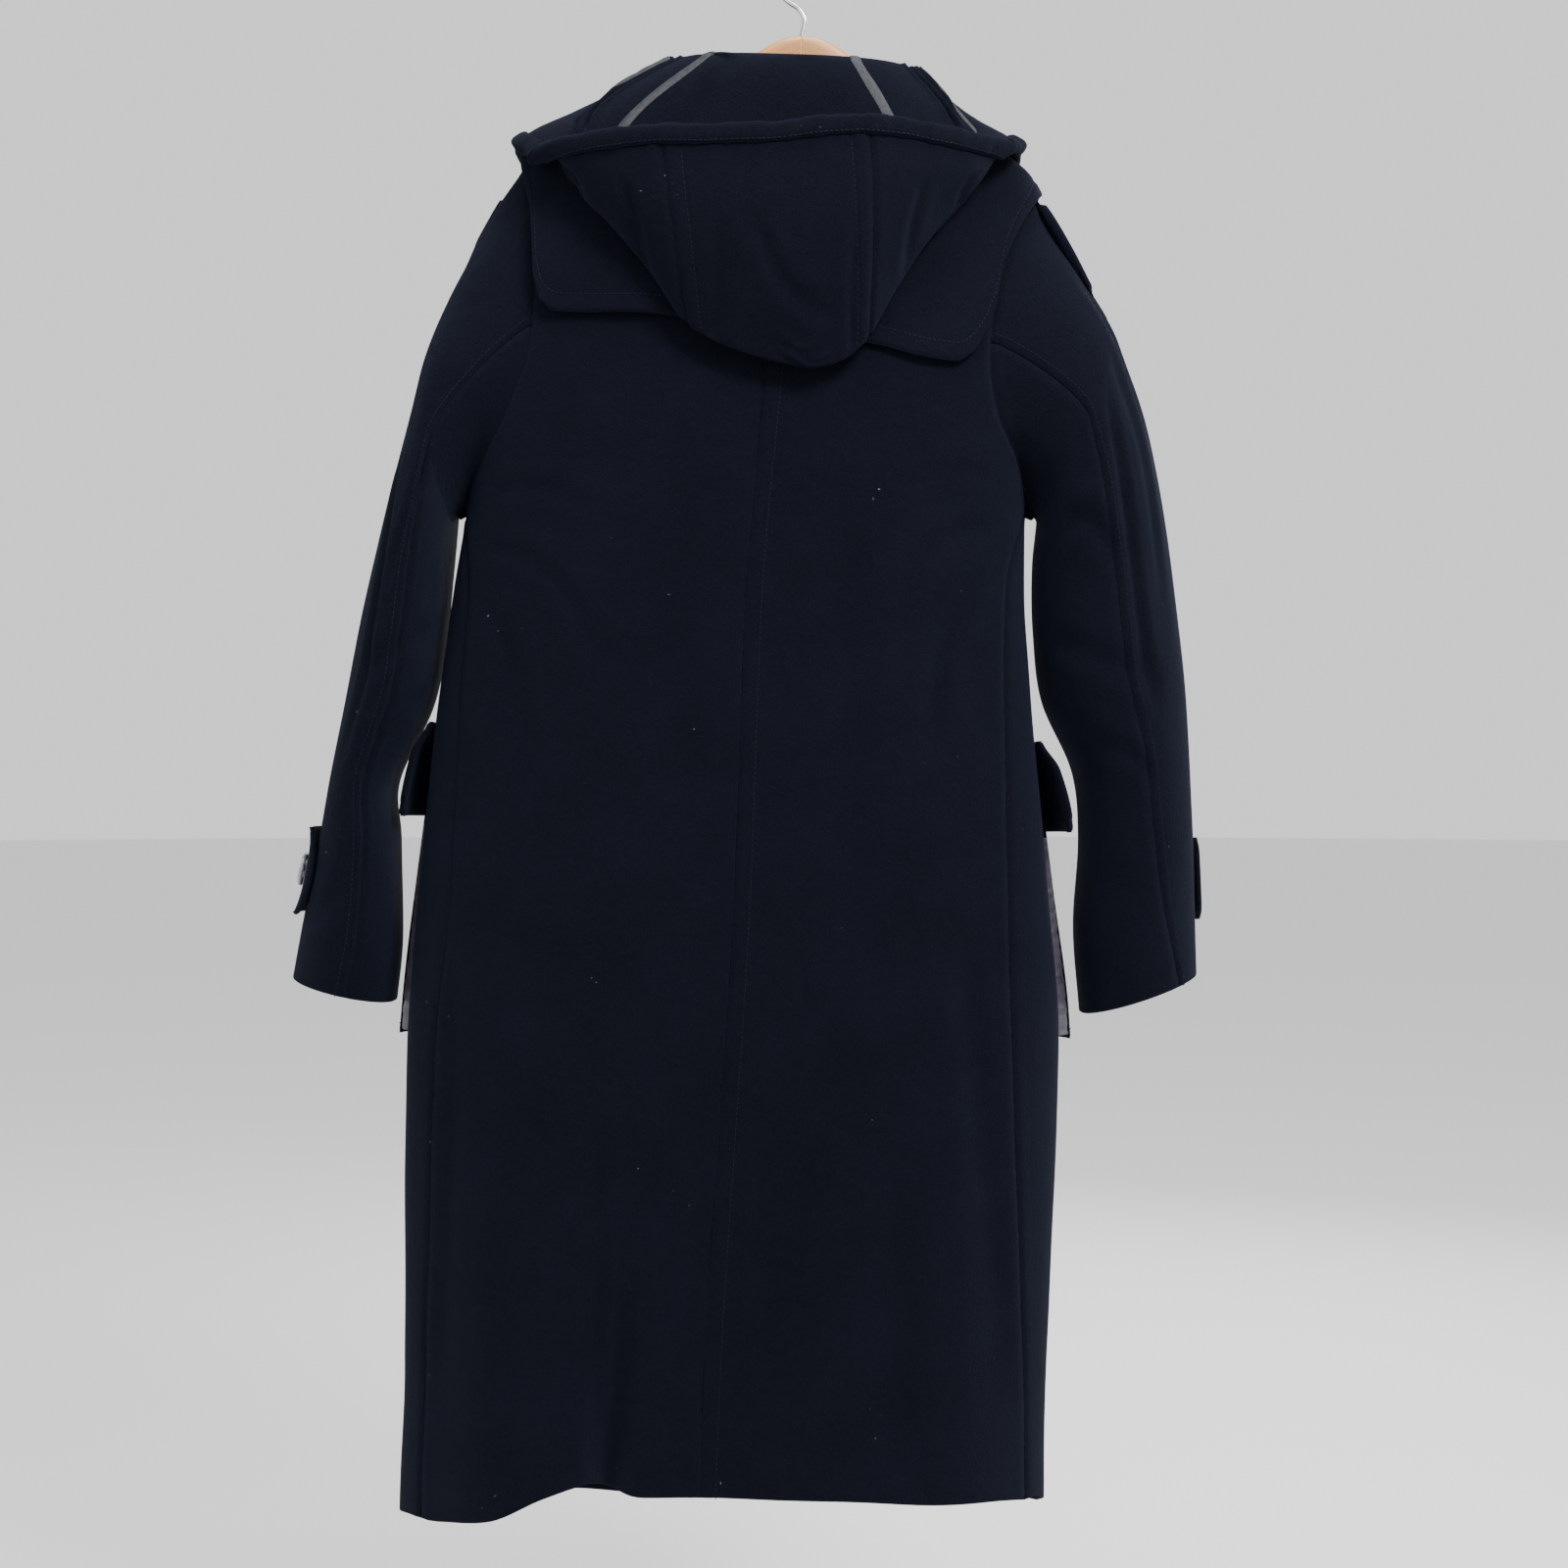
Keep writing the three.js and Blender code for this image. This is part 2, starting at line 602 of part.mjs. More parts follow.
function yokeSurface(u, v, out) {
  const { angle, z } = yokeList[u];
  const side = angle > 0 ? 'right' : 'left';
  const height = mix(z, neckZ(angle) - yokeTopGap, v);
  const step = Math.abs(angle) > 90 ? lapOut(side, bodyFace(angle, height).x, height) : 0;
  return bodyPoint(angle, height, out + step);
}

// Hood: three panels, dropped down the back. Each column runs from the neck seam
// down to the pouch's fold and up to the edge
const hoodColumns = [
  { at: 0, neck: -166, face: 'front', foldX: -58, foldZ: -168, edgeX: -60, edgeZ: -178, edgeOut: 10, open: 0 },
  { at: 1, neck: -150, face: 'front', foldX: -76, foldZ: -166, edgeX: -92, edgeZ: -182, edgeOut: 10, open: 0 },
  { at: 2, neck: -125, face: 'front', foldX: -90, foldZ: -156, edgeX: -130, edgeZ: -176, edgeOut: 10, open: 0 },
  { at: 3, neck: -103, face: 'front', foldX: -132, foldZ: -144, edgeX: -164, edgeZ: -162, edgeOut: 11, open: 0 },
  { at: 3.6, neck: -92, face: 'ridge', foldX: -160, foldZ: -133, edgeX: -187, edgeZ: -148, edgeOut: 12, open: 0 },
  { at: 4.2, neck: -84, face: 'back', foldX: -158, foldZ: -148, edgeX: -178, edgeZ: -160, edgeOut: 14, open: 0.1 },
  { at: 5, neck: -76, face: 'back', foldX: -160, foldZ: -168, edgeX: -173, edgeZ: -172, edgeOut: 21, open: 0.4 },
  { at: 6, neck: -66, face: 'back', foldX: -154, foldZ: -196, edgeX: -158, edgeZ: -179, edgeOut: 31, open: 0.8 },
  { at: 7, neck: -58, face: 'back', foldX: -134, foldZ: -220, edgeX: -134, edgeZ: -182, edgeOut: 42, open: 1 },
  { at: 8, neck: -48, face: 'back', foldX: -107, foldZ: -254, edgeX: -112, edgeZ: -184, edgeOut: 49, open: 1 },
  { at: 9, neck: -38, face: 'back', foldX: -80, foldZ: -293, edgeX: -92, edgeZ: -185, edgeOut: 53, open: 1 },
  { at: 10, neck: -26, face: 'back', foldX: -56, foldZ: -308, edgeX: -60, edgeZ: -187, edgeOut: 56, open: 1 },
  { at: 11, neck: -12, face: 'back', foldX: -24, foldZ: -319, edgeX: -24, edgeZ: -187, edgeOut: 58, open: 1 },
  { at: 12, neck: 5, face: 'back', foldX: 6, foldZ: -325, edgeX: 6, edgeZ: -184, edgeOut: 58, open: 1 },
  { at: 13, neck: 20, face: 'back', foldX: 28, foldZ: -318, edgeX: 26, edgeZ: -182, edgeOut: 57, open: 1 },
  { at: 14, neck: 31, face: 'back', foldX: 45, foldZ: -301, edgeX: 42, edgeZ: -181, edgeOut: 56, open: 1 },
  { at: 15, neck: 42, face: 'back', foldX: 61, foldZ: -273, edgeX: 62, edgeZ: -181, edgeOut: 53, open: 1 },
  { at: 16, neck: 54, face: 'back', foldX: 82, foldZ: -238, edgeX: 84, edgeZ: -182, edgeOut: 48, open: 1 },
  { at: 17, neck: 64, face: 'back', foldX: 102, foldZ: -212, edgeX: 106, edgeZ: -182, edgeOut: 41, open: 0.9 },
  { at: 18, neck: 74, face: 'back', foldX: 120, foldZ: -190, edgeX: 127, edgeZ: -178, edgeOut: 28, open: 0.6 },
  { at: 19, neck: 83, face: 'back', foldX: 119, foldZ: -160, edgeX: 134, edgeZ: -165, edgeOut: 18, open: 0.2 },
  { at: 19.6, neck: 90, face: 'ridge', foldX: 112, foldZ: -136, edgeX: 141, edgeZ: -151, edgeOut: 12, open: 0 },
  { at: 20.2, neck: 99, face: 'front', foldX: 110, foldZ: -148, edgeX: 136, edgeZ: -166, edgeOut: 10, open: 0 },
  { at: 21, neck: 112, face: 'front', foldX: 92, foldZ: -152, edgeX: 122, edgeZ: -178, edgeOut: 10, open: 0 },
  { at: 22, neck: 135, face: 'front', foldX: 58, foldZ: -162, edgeX: 84, edgeZ: -186, edgeOut: 10, open: 0 },
  { at: 23, neck: 155, face: 'front', foldX: 26, foldZ: -172, edgeX: 42, edgeZ: -190, edgeOut: 10, open: 0 },
  { at: 24, neck: 170, face: 'front', foldX: 2, foldZ: -176, edgeX: 10, edgeZ: -184, edgeOut: 10, open: 0 },
];
const hoodSeams = { left: 9, right: 14 };
const neckSeamGap = 1.4;
const hoodOut = 9.8; // the hood's right side above the body's face, over the yoke

// Table columns of the hood at any place along it, as angles on the body
const hoodRows = hoodColumns.map((row) => {
  const side = row.at < 12 ? 'left' : 'right';
  const place = (x, z) => {
    if (row.face === 'ridge') return sides[side] * 90;
    return row.face === 'back' ? angleAt(x, z) : frontAngle(side, x, z);
  };
  return { ...row, foldAngle: place(row.foldX, row.foldZ), edgeAngle: place(row.edgeX, row.edgeZ) };
});
function hoodPath(at) {
  const value = (column) => readTable(hoodRows, 'at', column, at);
  const neckAngle = value('neck');
  const side = neckAngle > 0 ? 'right' : 'left';
  const neck = neckZ(neckAngle);
  const open = value('open');
  const fold = { angle: value('foldAngle'), z: value('foldZ') };
  const edge = { angle: value('edgeAngle'), z: value('edgeZ'), out: value('edgeOut') };
  const onBody = (angle, z, out, lift = 0) => {
    const step = Math.abs(angle) > 90 ? lapOut(side, bodyFace(angle, z).x, z) : 0;
    const point = bodyPoint(angle, z, out + step);
    point.z += lift;
    return point;
  };
  // "held" keeps an open column close to its place at the neck for longer
  const between = (t, out, held = 0) => {
    const angle = mix(neckAngle, fold.angle, t - held * open ** 3);
    return onBody(angle, mix(neck, fold.z, t), out);
  };
  const rising = (t, out) => onBody(mix(fold.angle, edge.angle, t), mix(fold.z, edge.z, t), out);
  const foldOut = hoodOut + 12 * open;
  return new THREE.CatmullRomCurve3([
    onBody(neckAngle, neck, 0, neckSeamGap),
    onBody(neckAngle, neck, 0.6, 5.5),
    onBody(neckAngle, neck, 5, 8),
    onBody(neckAngle, neck, hoodOut + 1, 2),
    between(0.3, hoodOut + 0.8, 0.22),
    between(0.65, hoodOut + 0.4, 0.14),
    between(0.92, hoodOut + 0.6),
    rising(0, hoodOut + 5 * open + 0.6),
    rising(0.1, foldOut + 0.6),
    rising(0.4, mix(foldOut, edge.out, 0.5)),
    rising(0.75, mix(foldOut, edge.out, 0.85)),
    rising(1, edge.out),
  ], false, 'centripetal');
}
const hoodCurves = new Map();
function hoodCurve(at) {
  const key = at.toFixed(4);
  if (!hoodCurves.has(key)) hoodCurves.set(key, hoodPath(at));
  return hoodCurves.get(key);
}
// "into" moves a point into the hood, away from its right side
function hoodPoint(at, v, into = 0) {
  const point = hoodCurve(at).getPoint(v);
  if (into === 0) return point;
  const step = 0.5;
  const along = hoodCurve(Math.min(at + step, 24)).getPoint(v).sub(hoodCurve(Math.max(at - step, 0)).getPoint(v));
  const down = hoodCurve(at).getPoint(Math.min(v + 0.01, 1)).sub(hoodCurve(at).getPoint(Math.max(v - 0.01, 0)));
  return point.addScaledVector(down.cross(along).normalize(), into);
}

// A closed tube through rings of points
function tubeThrough(rings) {
  const count = rings[0].length;
  const positions = [];
  rings.forEach((ring) => ring.forEach((p) => positions.push(p.x, p.y, p.z)));
  const ends = [rings[0], rings[rings.length - 1]].map((ring) => {
    const middle = ring.reduce((sum, p) => sum.add(p), new THREE.Vector3()).divideScalar(count);
    positions.push(middle.x, middle.y, middle.z);
    return positions.length / 3 - 1;
  });
  const index = [];
  for (let i = 0; i < rings.length - 1; i += 1) {
    for (let j = 0; j < count; j += 1) {
      const a = i * count + j;
      const b = i * count + (j + 1) % count;
      index.push(a, b, b + count, a, b + count, a + count);
    }
  }
  for (let j = 0; j < count; j += 1) {
    const next = (j + 1) % count;
    const base = (rings.length - 1) * count;
    index.push(ends[0], next, j, ends[1], base + j, base + next);
  }
  const geometry = new THREE.BufferGeometry();
  geometry.setAttribute('position', new THREE.Float32BufferAttribute(positions, 3));
  geometry.setIndex(index);
  return facingOut(geometry);
}

// Pockets: a patch that stands off the front, the lining that shows at its side, and a flap
const pockets = {
  left: { top: -592, bottom: -796, flapTop: -566, flapFoot: -636, sideOut: 14, flapOut: 20 },
  right: { top: -604, bottom: -800, flapTop: -580, flapFoot: -648, sideOut: 15, flapOut: 23 },
};
const pocketSideAngle = 97; // round the body from the centre back
const pocketInnerAngle = 148;
const pocketBelly = 5;
const liningThickness = 1.2;
const flapThickness = 5;
const panelGap = 0.6; // between a front and what is sewn on it

function pocketPoint(side, u, v, out) {
  const pocket = pockets[side];
  const z = mix(pocket.bottom, pocket.top, v);
  const angle = sides[side] * mix(pocketSideAngle, pocketInnerAngle, u);
  const gape = (pocket.sideOut - cloth - panelGap) * (1 - u) * mix(1, 0.2, v);
  const belly = pocketBelly * Math.sin(Math.PI * u) * smooth(v * 6) * mix(1, 0.2, smooth((v - 0.55) / 0.45));
  return frontPoint(side, angle, z, cloth + panelGap + gape + belly + out);
}
function liningPoint(side, u, v, out) {
  const pocket = pockets[side];
  const z = mix(pocket.bottom + 3, mix(pocket.bottom, pocket.top, 0.76), v);
  const vPocket = (z - pocket.bottom) / (pocket.top - pocket.bottom);
  const edge = pocketPoint(side, 0.04, vPocket, -cloth - 1.3);
  const base = frontPoint(side, sides[side] * (pocketSideAngle + 1.5), z, panelGap);
  const point = base.lerp(edge, u);
  point.y += out;
  return point;
}
function flapPoint(side, u, v, out) {
  const pocket = pockets[side];
  const z = mix(pocket.flapTop, pocket.flapFoot, v);
  const start = side === 'left' ? 84 : 86;
  const angle = sides[side] * mix(start, pocketInnerAngle + 3, u);
  const overPocket = 6.2 * smooth((pocket.flapTop - z) / (pocket.flapTop - pocket.top - 2)) + 3 * v;
  const flare = Math.sin(Math.min(v * 1.18, 1) * Math.PI / 2) ** 1.4 * mix(1, 0.86, smooth((v - 0.8) / 0.2));
  const atSide = Math.max(pocket.flapOut - flapThickness - panelGap - 9.2, 0) * flare * (1 - smooth(u * 2));
  return frontPoint(side, angle, z, flapThickness + panelGap + overPocket + atSide + out);
}

// Cuff straps: sewn round the sleeve's outer edge, with a button
const straps = {
  left: { from: -96, to: 42, top: 0.795, foot: 0.9, buttonTurn: 8 },
  right: { from: -100, to: 4, top: 0.825, foot: 0.927, buttonTurn: -52 },
};
const strapThickness = 4;
const strapGap = 1.2;
const strapCurl = 3.2; // its long edges curl off the sleeve
function strapPoint(side, u, v, out) {
  const strap = straps[side];
  const rounded = 0.16 * Math.abs(2 * v - 1) ** 3;
  const turn = mix(strap.from, strap.to, u * (1 - rounded));
  const curl = strapCurl * Math.abs(2 * v - 1) ** 3;
  return sleevePoint(side, turn, mix(strap.top, strap.foot, v), strapGap + strapThickness + curl + out);
}
function strapMiddle(side) {
  const strap = straps[side];
  const u = (strap.buttonTurn - strap.from) / (strap.to - strap.from);
  return {
    point: strapPoint(side, u, 0.5, 0),
    normal: strapPoint(side, u, 0.5, 2).sub(strapPoint(side, u, 0.5, 0)).normalize(),
  };
}

function facingOut(geometry) {
  const index = geometry.getIndex();
  if (signedVolume(geometry) < 0) {
    for (let k = 0; k < index.count; k += 3) {
      const swap = index.getX(k + 1);
      index.setX(k + 1, index.getX(k + 2));
      index.setX(k + 2, swap);
    }
  }
  geometry.computeVertexNormals();
  return geometry;
}

// Pieces of cloth
const frontColumns = {
  left: steps(10),
  right: [0, 0.1, 0.2, 0.3, 0.4, 0.5, 0.58, 0.68, 0.78, 0.89, 1],
};
Object.keys(sides).forEach((side) => {
  const rows = panelRows(side);
  addPiece(`back_${side}`, clothWall({
    surface: backPanel(side), across: steps(9), along: rows, pulled: ['first', 'last'],
  }), colours.wool);
  addPiece(`front_${side}`, clothWall({
    surface: frontPanel(side), across: frontColumns[side], along: rows, pulled: ['first'],
  }), colours.wool);
  const backSeam = { turn: 90, at: (v) => readTable(sleeveBackSeam[side], 'along', 'turn', v) };
  const frontSeam = (turn) => ({ turn, at: () => turn });
  const upper = sleevePiece(side, frontSeam(sleeveFrontSeam), backSeam);
  const under = sleevePiece(side, backSeam, frontSeam(sleeveFrontSeam + 360));
  addPiece(`sleeve_top_${side}`, clothWall({
    ...upper, along: sleeveAlong, pulled: ['first', 'last', 'bottom'], gap: 0.3,
  }), colours.wool);
  addPiece(`sleeve_under_${side}`, clothWall({
    ...under, along: sleeveAlong, pulled: ['first', 'last', 'bottom'], gap: 0.5,
  }), colours.wool);
});
addPiece('yoke', clothWall({
  surface: yokeSurface,
  across: yokeList.map((_, i) => i),
  along: yokeRows,
  from: yokeGap,
  to: yokeGap + cloth,
}), colours.wool);

const hoodAlong = [0, 0.06, 0.12, 0.18, 0.26, 0.36, 0.47, 0.56, 0.62, 0.67, 0.73, 0.86, 1];
const spread = (from, to, count) => steps(count).map((t) => mix(from, to, t));
const hoodPieces = {
  left: [0, 1, 1.9, 2.5, 3, 3.3, 3.6, 3.9, 4.2, 4.6, 5, 5.7, 6.4, 7.2, 8.1, 9],
  centre: spread(hoodSeams.left, hoodSeams.right, 6),
  right: [14, 15, 16, 16.8, 17.5, 18.2, 18.7, 19, 19.3, 19.6, 19.9, 20.2, 20.6, 21.2, 22, 23, 24],
};
Object.entries(hoodPieces).forEach(([name, across]) => {
  const pulled = { left: ['last'], centre: ['first', 'last'], right: ['first'] }[name];
  addPiece(`hood_${name}`, clothWall({
    surface: (u, v, out) => hoodPoint(u, v, -out), across, along: hoodAlong, pulled, gap: 1,
  }), colours.wool);
});

// The hood's padded edge: a roll along the panels' ends
function rollRing(at) {
  const end = hoodCurve(at).getPoint(1);
  const rise = end.clone().sub(hoodCurve(at).getPoint(0.97)).normalize();
  const step = 0.3;
  const along = hoodCurve(Math.min(at + step, 24)).getPoint(1).sub(hoodCurve(Math.max(at - step, 0)).getPoint(1));
  const into = rise.clone().cross(along).normalize();
  const rollSides = 7;
  const middle = end.addScaledVector(rise, rollHeight / 2 + rollGap).addScaledVector(into, cloth / 2);
  return Array.from({ length: rollSides }, (_, k) => {
    const turn = (k + 0.5) / rollSides * 2 * Math.PI;
    return middle.clone()
      .addScaledVector(rise, Math.cos(turn) * rollHeight / 2)
      .addScaledVector(into, Math.sin(turn) * rollDepth / 2);
  });
}
const rollStations = [...new Set([...hoodPieces.left, ...hoodPieces.centre, ...hoodPieces.right])];
addPiece('hood_edge_roll', tubeThrough(rollStations.map(rollRing)), colours.wool);

// Tapes that bind the hood's seams, where they show above the roll
const tapeThickness = 1;
const tapeGap = 0.9;
const tapes = [
  { name: 'hood_tape_left', at: hoodSeams.left, from: 0.2, to: 0.44 },
  { name: 'hood_tape_right', at: hoodSeams.right, from: 0.2, to: 0.44 },
  { name: 'hood_tape_shoulder_left', at: 5.9, from: 0.25, to: 0.38 },
  { name: 'hood_tape_shoulder_right', at: 17.9, from: 0.25, to: 0.42 },
];
tapes.forEach(({ name, at, from, to }) => {
  const width = hoodPoint(at + 0.5, from).distanceTo(hoodPoint(at - 0.5, from));
  const half = bindingWidth / 2 / width;
  addPiece(name, clothWall({
    surface: (u, v, out) => hoodPoint(mix(at - half, at + half, u), mix(from, to, v), out),
    across: steps(2), along: steps(6), from: cloth + tapeGap, to: cloth + tapeGap + tapeThickness,
  }), colours.tape, 0.7);
});

// Pockets, flaps, cuff straps and their buttons
Object.keys(sides).forEach((side) => {
  addPiece(`pocket_${side}`, clothWall({
    surface: (u, v, out) => pocketPoint(side, u, v, out), across: steps(7), along: steps(6),
  }), colours.wool);
  addPiece(`pocket_lining_${side}`, clothWall({
    surface: (u, v, out) => liningPoint(side, u, v, out), across: steps(1), along: steps(8), from: 0, to: liningThickness,
  }), colours.lining, 0.45);
  addPiece(`flap_${side}`, clothWall({
    surface: (u, v, out) => flapPoint(side, u, v, out), across: steps(8), along: steps(5), from: -flapThickness,
  }), colours.wool);
  addPiece(`cuff_strap_${side}`, clothWall({
    surface: (u, v, out) => strapPoint(side, u, v, out), across: steps(8), along: steps(6), from: -strapThickness,
  }), colours.wool);
  const { point, normal } = strapMiddle(side);
  const button = addPiece(`cuff_button_${side}`, buttonGeometry(), colours.pearl, 0.35);
  button.quaternion.setFromUnitVectors(new THREE.Vector3(0, 1, 0), normal);
  button.position.copy(point.addScaledVector(normal, 0.9));
});

// A rimmed button, lying on its back
function buttonGeometry() {
  const r = buttonDiameter / 2;
  const rim = 3;
  const profile = [[0, 0], [r - 1.5, 0], [r, 1.2], [r, 2.6], [r - 0.8, 3.4], [r - rim, 3.2], [r - rim - 1, 2.2], [0, 2.2]];
  return new THREE.LatheGeometry(profile.map(([x, y]) => new THREE.Vector2(x, y)), 16);
}

// Hanger: two bowed arms jointed at the middle, and the hook
const hangerArm = { thickness: 13, heightMiddle: 34, heightTip: 22, underCloth: 1.6, bow: 2 };
const hangerTopLine = [
  { x: 0, drop: 0 },
  { x: 10, drop: 1.2 },
  { x: 20, drop: 5 },
  { x: 30, drop: 11 },
  { x: 40, drop: 18.5 },
  { x: 52, drop: 26 },
];
const armFollowsCloth = 78; // from here out, the arm lies just under the shoulders
// Height of the shoulder line at x
function shoulderZ(side, x) {
  const rows = bodyRings.filter(({ z }) => z >= armholes[side].top - 40);
  return readTable(rows.map((row) => ({ x: row[side], z: row.z })), 'x', 'z', x);
}
function armTop(side, reach) {
  const under = (at) => shoulderZ(side, sides[side] * at) - cloth * 1.15 - hangerArm.underCloth;
  if (reach >= armFollowsCloth) return under(reach);
  const last = hangerTopLine[hangerTopLine.length - 1];
  if (reach <= last.x) return hangerTop - readTable(hangerTopLine, 'x', 'drop', reach);
  return mix(hangerTop - last.drop, under(armFollowsCloth), (reach - last.x) / (armFollowsCloth - last.x));
}
function armGeometry(side) {
  const tip = Math.abs(hangerSpan[side]);
  const reaches = [0.15, 10, 20, 30, 40, 52, 66, 80, 95, 110, 125, 140, tip - 14, tip - 6, tip - 1.5, tip];
  return tubeThrough(reaches.filter((reach, i) => i < 8 || reach > reaches[i - 1]).map((reach) => {
    const share = reach / tip;
    const nearTip = Math.max(1 - (tip - reach) / 14, 0);
    const size = Math.sqrt(Math.max(1 - nearTip ** 2, 0.06));
    const height = mix(hangerArm.heightMiddle, hangerArm.heightTip, share) * size;
    const middle = armTop(side, reach) - mix(hangerArm.heightMiddle, hangerArm.heightTip, share) / 2;
    const bow = hangerArm.bow * share ** 2;
    const corners = 10;
    return Array.from({ length: corners }, (_, k) => {
      const turn = (k + 0.5) / corners * 2 * Math.PI;
      const squareness = 0.62;
      const round = (value) => Math.sign(value) * Math.abs(value) ** squareness;
      return new THREE.Vector3(
        sides[side] * reach,
        bow + round(Math.cos(turn)) * hangerArm.thickness / 2 * size,
        middle + round(Math.sin(turn)) * height / 2,
      );
    });
  }));
}
Object.keys(sides).forEach((side) => addPiece(`hanger_arm_${side}`, armGeometry(side), colours.wood, 0.5));

const hookCentre = { x: 0, z: wireDiameter / 2 - hookRadius };
const hookWay = [
  [0, hangerTop + seamGap], [1.5, -55], [2, -49], [-2, -42], [-10, -36.5],
  ...[215, 190, 165, 140, 115, 90, 65, 40, 15, -10].map((angle) => [
    hookCentre.x + hookRadius * Math.cos(radians(angle)),
    hookCentre.z + hookRadius * Math.sin(radians(angle)),
  ]),
];
const wireSection = new THREE.Shape();
wireSection.absarc(0, 0, wireDiameter / 2, 0, 2 * Math.PI);
const hookCurve = new THREE.CatmullRomCurve3(hookWay.map(([x, z]) => new THREE.Vector3(x, 0, z)));
addPiece('hanger_hook', new THREE.ExtrudeGeometry(wireSection, {
  extrudePath: hookCurve, steps: 32, curveSegments: 4, bevelEnabled: false,
}), colours.steel, 0.3, 1);

// Front closing: on the left front a toggle on its cord, on the right one a loop, each from a patch
const closing = {
  top: -326,
  step: -109.7,
  count: 4,
  cordDiameter: 4,
  toggleLength: 52,
  toggleRadius: 6.5,
  toggleOffEdge: -14, // from the right front's edge to the toggle's middle
  patchHeight: 30,
  patchThickness: 1.8,
};
const patches = {
  left: { from: -84, to: -50 }, // along x from the right front's edge
  right: { from: 60, to: 26 },
};
const closingHeights = { loop: 2.6, cord: 7.4, toggle: 15.4 }; // of their middles, off the right front
function closingPoint(side, set, x, rise, out) {
  const z = closing.top + closing.step * set;
  const edge = frontEdgeX('right', z);
  return frontPoint(side, frontAngle(side, edge + x, z), z, out).add(new THREE.Vector3(0, 0, rise));
}
function patchPoint(side, set, u, v, out) {
  const patch = patches[side];
  const half = closing.patchHeight / 2 * (1 - 0.42 * u ** 3 - 0.2 * (1 - u) ** 4);
  return closingPoint(side, set, mix(patch.from, patch.to, u), half * (2 * v - 1), panelGap + out);
}
// A cord that leaves a patch, turns round and comes back to it; half of its way, by x, z and out
function closingCord(side, set, half) {
  const there = half.map(({ x, rise, out }) => closingPoint(side, set, x, rise, out));
  const back = half.filter(({ rise }) => rise > 0).map(({ x, rise, out }) => closingPoint(side, set, x, -rise, out));
  const way = new THREE.CatmullRomCurve3([...there, ...back.reverse()], false, 'centripetal');
  const section = new THREE.Shape();
  section.absarc(0, 0, closing.cordDiameter / 2, 0, 2 * Math.PI);
  return new THREE.ExtrudeGeometry(section, {
    extrudePath: way, steps: 16, curveSegments: 3, bevelEnabled: false,
  });
}
function toggleGeometry() {
  const end = closing.toggleLength / 2;
  const r = closing.toggleRadius;
  const half = [[end, 0], [end - 0.6, 2.4], [end - 5, 4.6], [end - 14, r], [4, r - 0.5], [0, r - 1.4]];
  const profile = [...half, ...half.slice(0, -1).reverse().map(([x, y]) => [-x, y])];
  return new THREE.LatheGeometry(profile.map(([x, y]) => new THREE.Vector2(y, x)).reverse(), 10);
}
for (let set = 0; set < closing.count; set += 1) {
  const name = (piece) => `${piece}_${set + 1}`;
  Object.keys(patches).forEach((side) => addPiece(name(`patch_${side}`), clothWall({
    surface: (u, v, out) => patchPoint(side, set, u, v, out), across: steps(4), along: steps(2),
    from: 0, to: closing.patchThickness,
  }), colours.leather, 0.55));
  const at = closing.toggleOffEdge;
  addPiece(name('loop'), closingCord('right', set, [
    { x: patches.right.to - seamGap, rise: 6, out: closingHeights.loop },
    { x: at + 20, rise: 6.5, out: closingHeights.loop },
    { x: at + 1, rise: 6, out: closingHeights.loop },
    { x: at - 5, rise: 4, out: closingHeights.loop },
    { x: at - 7.5, rise: 0, out: closingHeights.loop },
  ]), colours.leather, 0.6);
  addPiece(name('toggle_cord'), closingCord('left', set, [
    { x: patches.left.to + seamGap, rise: 3.2, out: 2.2 },
    { x: at - 25, rise: 3.2, out: 5 + lapStep / 4 },
    { x: at - 13, rise: 3.2, out: lapStep + closingHeights.cord - 0.4 },
    { x: at - 3, rise: 3, out: lapStep + closingHeights.cord },
    { x: at + 1.5, rise: 0, out: lapStep + closingHeights.cord },
  ]), colours.leather, 0.6);
  const toggle = addPiece(name('toggle'), toggleGeometry(), colours.horn, 0.4);
  toggle.position.copy(closingPoint('right', set, at, 0, closingHeights.toggle));
  const way = closingPoint('right', set, at + 20, 0, 0).sub(closingPoint('right', set, at - 20, 0, 0)).normalize();
  toggle.quaternion.setFromUnitVectors(new THREE.Vector3(0, 1, 0), way);
}

export default coat;
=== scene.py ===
import math
from functools import partial

import bpy
import bmesh
import numpy as np
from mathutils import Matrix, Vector


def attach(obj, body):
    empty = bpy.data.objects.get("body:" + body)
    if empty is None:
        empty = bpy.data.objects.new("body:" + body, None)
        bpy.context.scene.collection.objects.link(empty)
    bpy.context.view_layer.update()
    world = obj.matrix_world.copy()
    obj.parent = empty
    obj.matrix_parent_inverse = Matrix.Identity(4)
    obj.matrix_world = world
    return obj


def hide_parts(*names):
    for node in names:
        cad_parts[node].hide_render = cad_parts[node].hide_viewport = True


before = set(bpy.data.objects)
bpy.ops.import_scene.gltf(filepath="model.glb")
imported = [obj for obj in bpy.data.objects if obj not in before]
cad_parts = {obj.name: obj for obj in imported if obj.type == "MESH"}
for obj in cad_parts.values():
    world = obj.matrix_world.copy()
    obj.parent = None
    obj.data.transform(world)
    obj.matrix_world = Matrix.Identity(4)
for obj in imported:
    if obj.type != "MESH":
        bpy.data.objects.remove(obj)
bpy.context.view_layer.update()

# A hooded duffle coat seen from its back, hanging on a wooden hanger.
# Sizes in millimetres until a mesh is made: -Y is the coat's back, +X the wearer's right.
coat = dict(cloth=3.0, layerGap=1.9, overlap=64.0, meshStep=5.2)
sides = dict(left=-1, right=1)

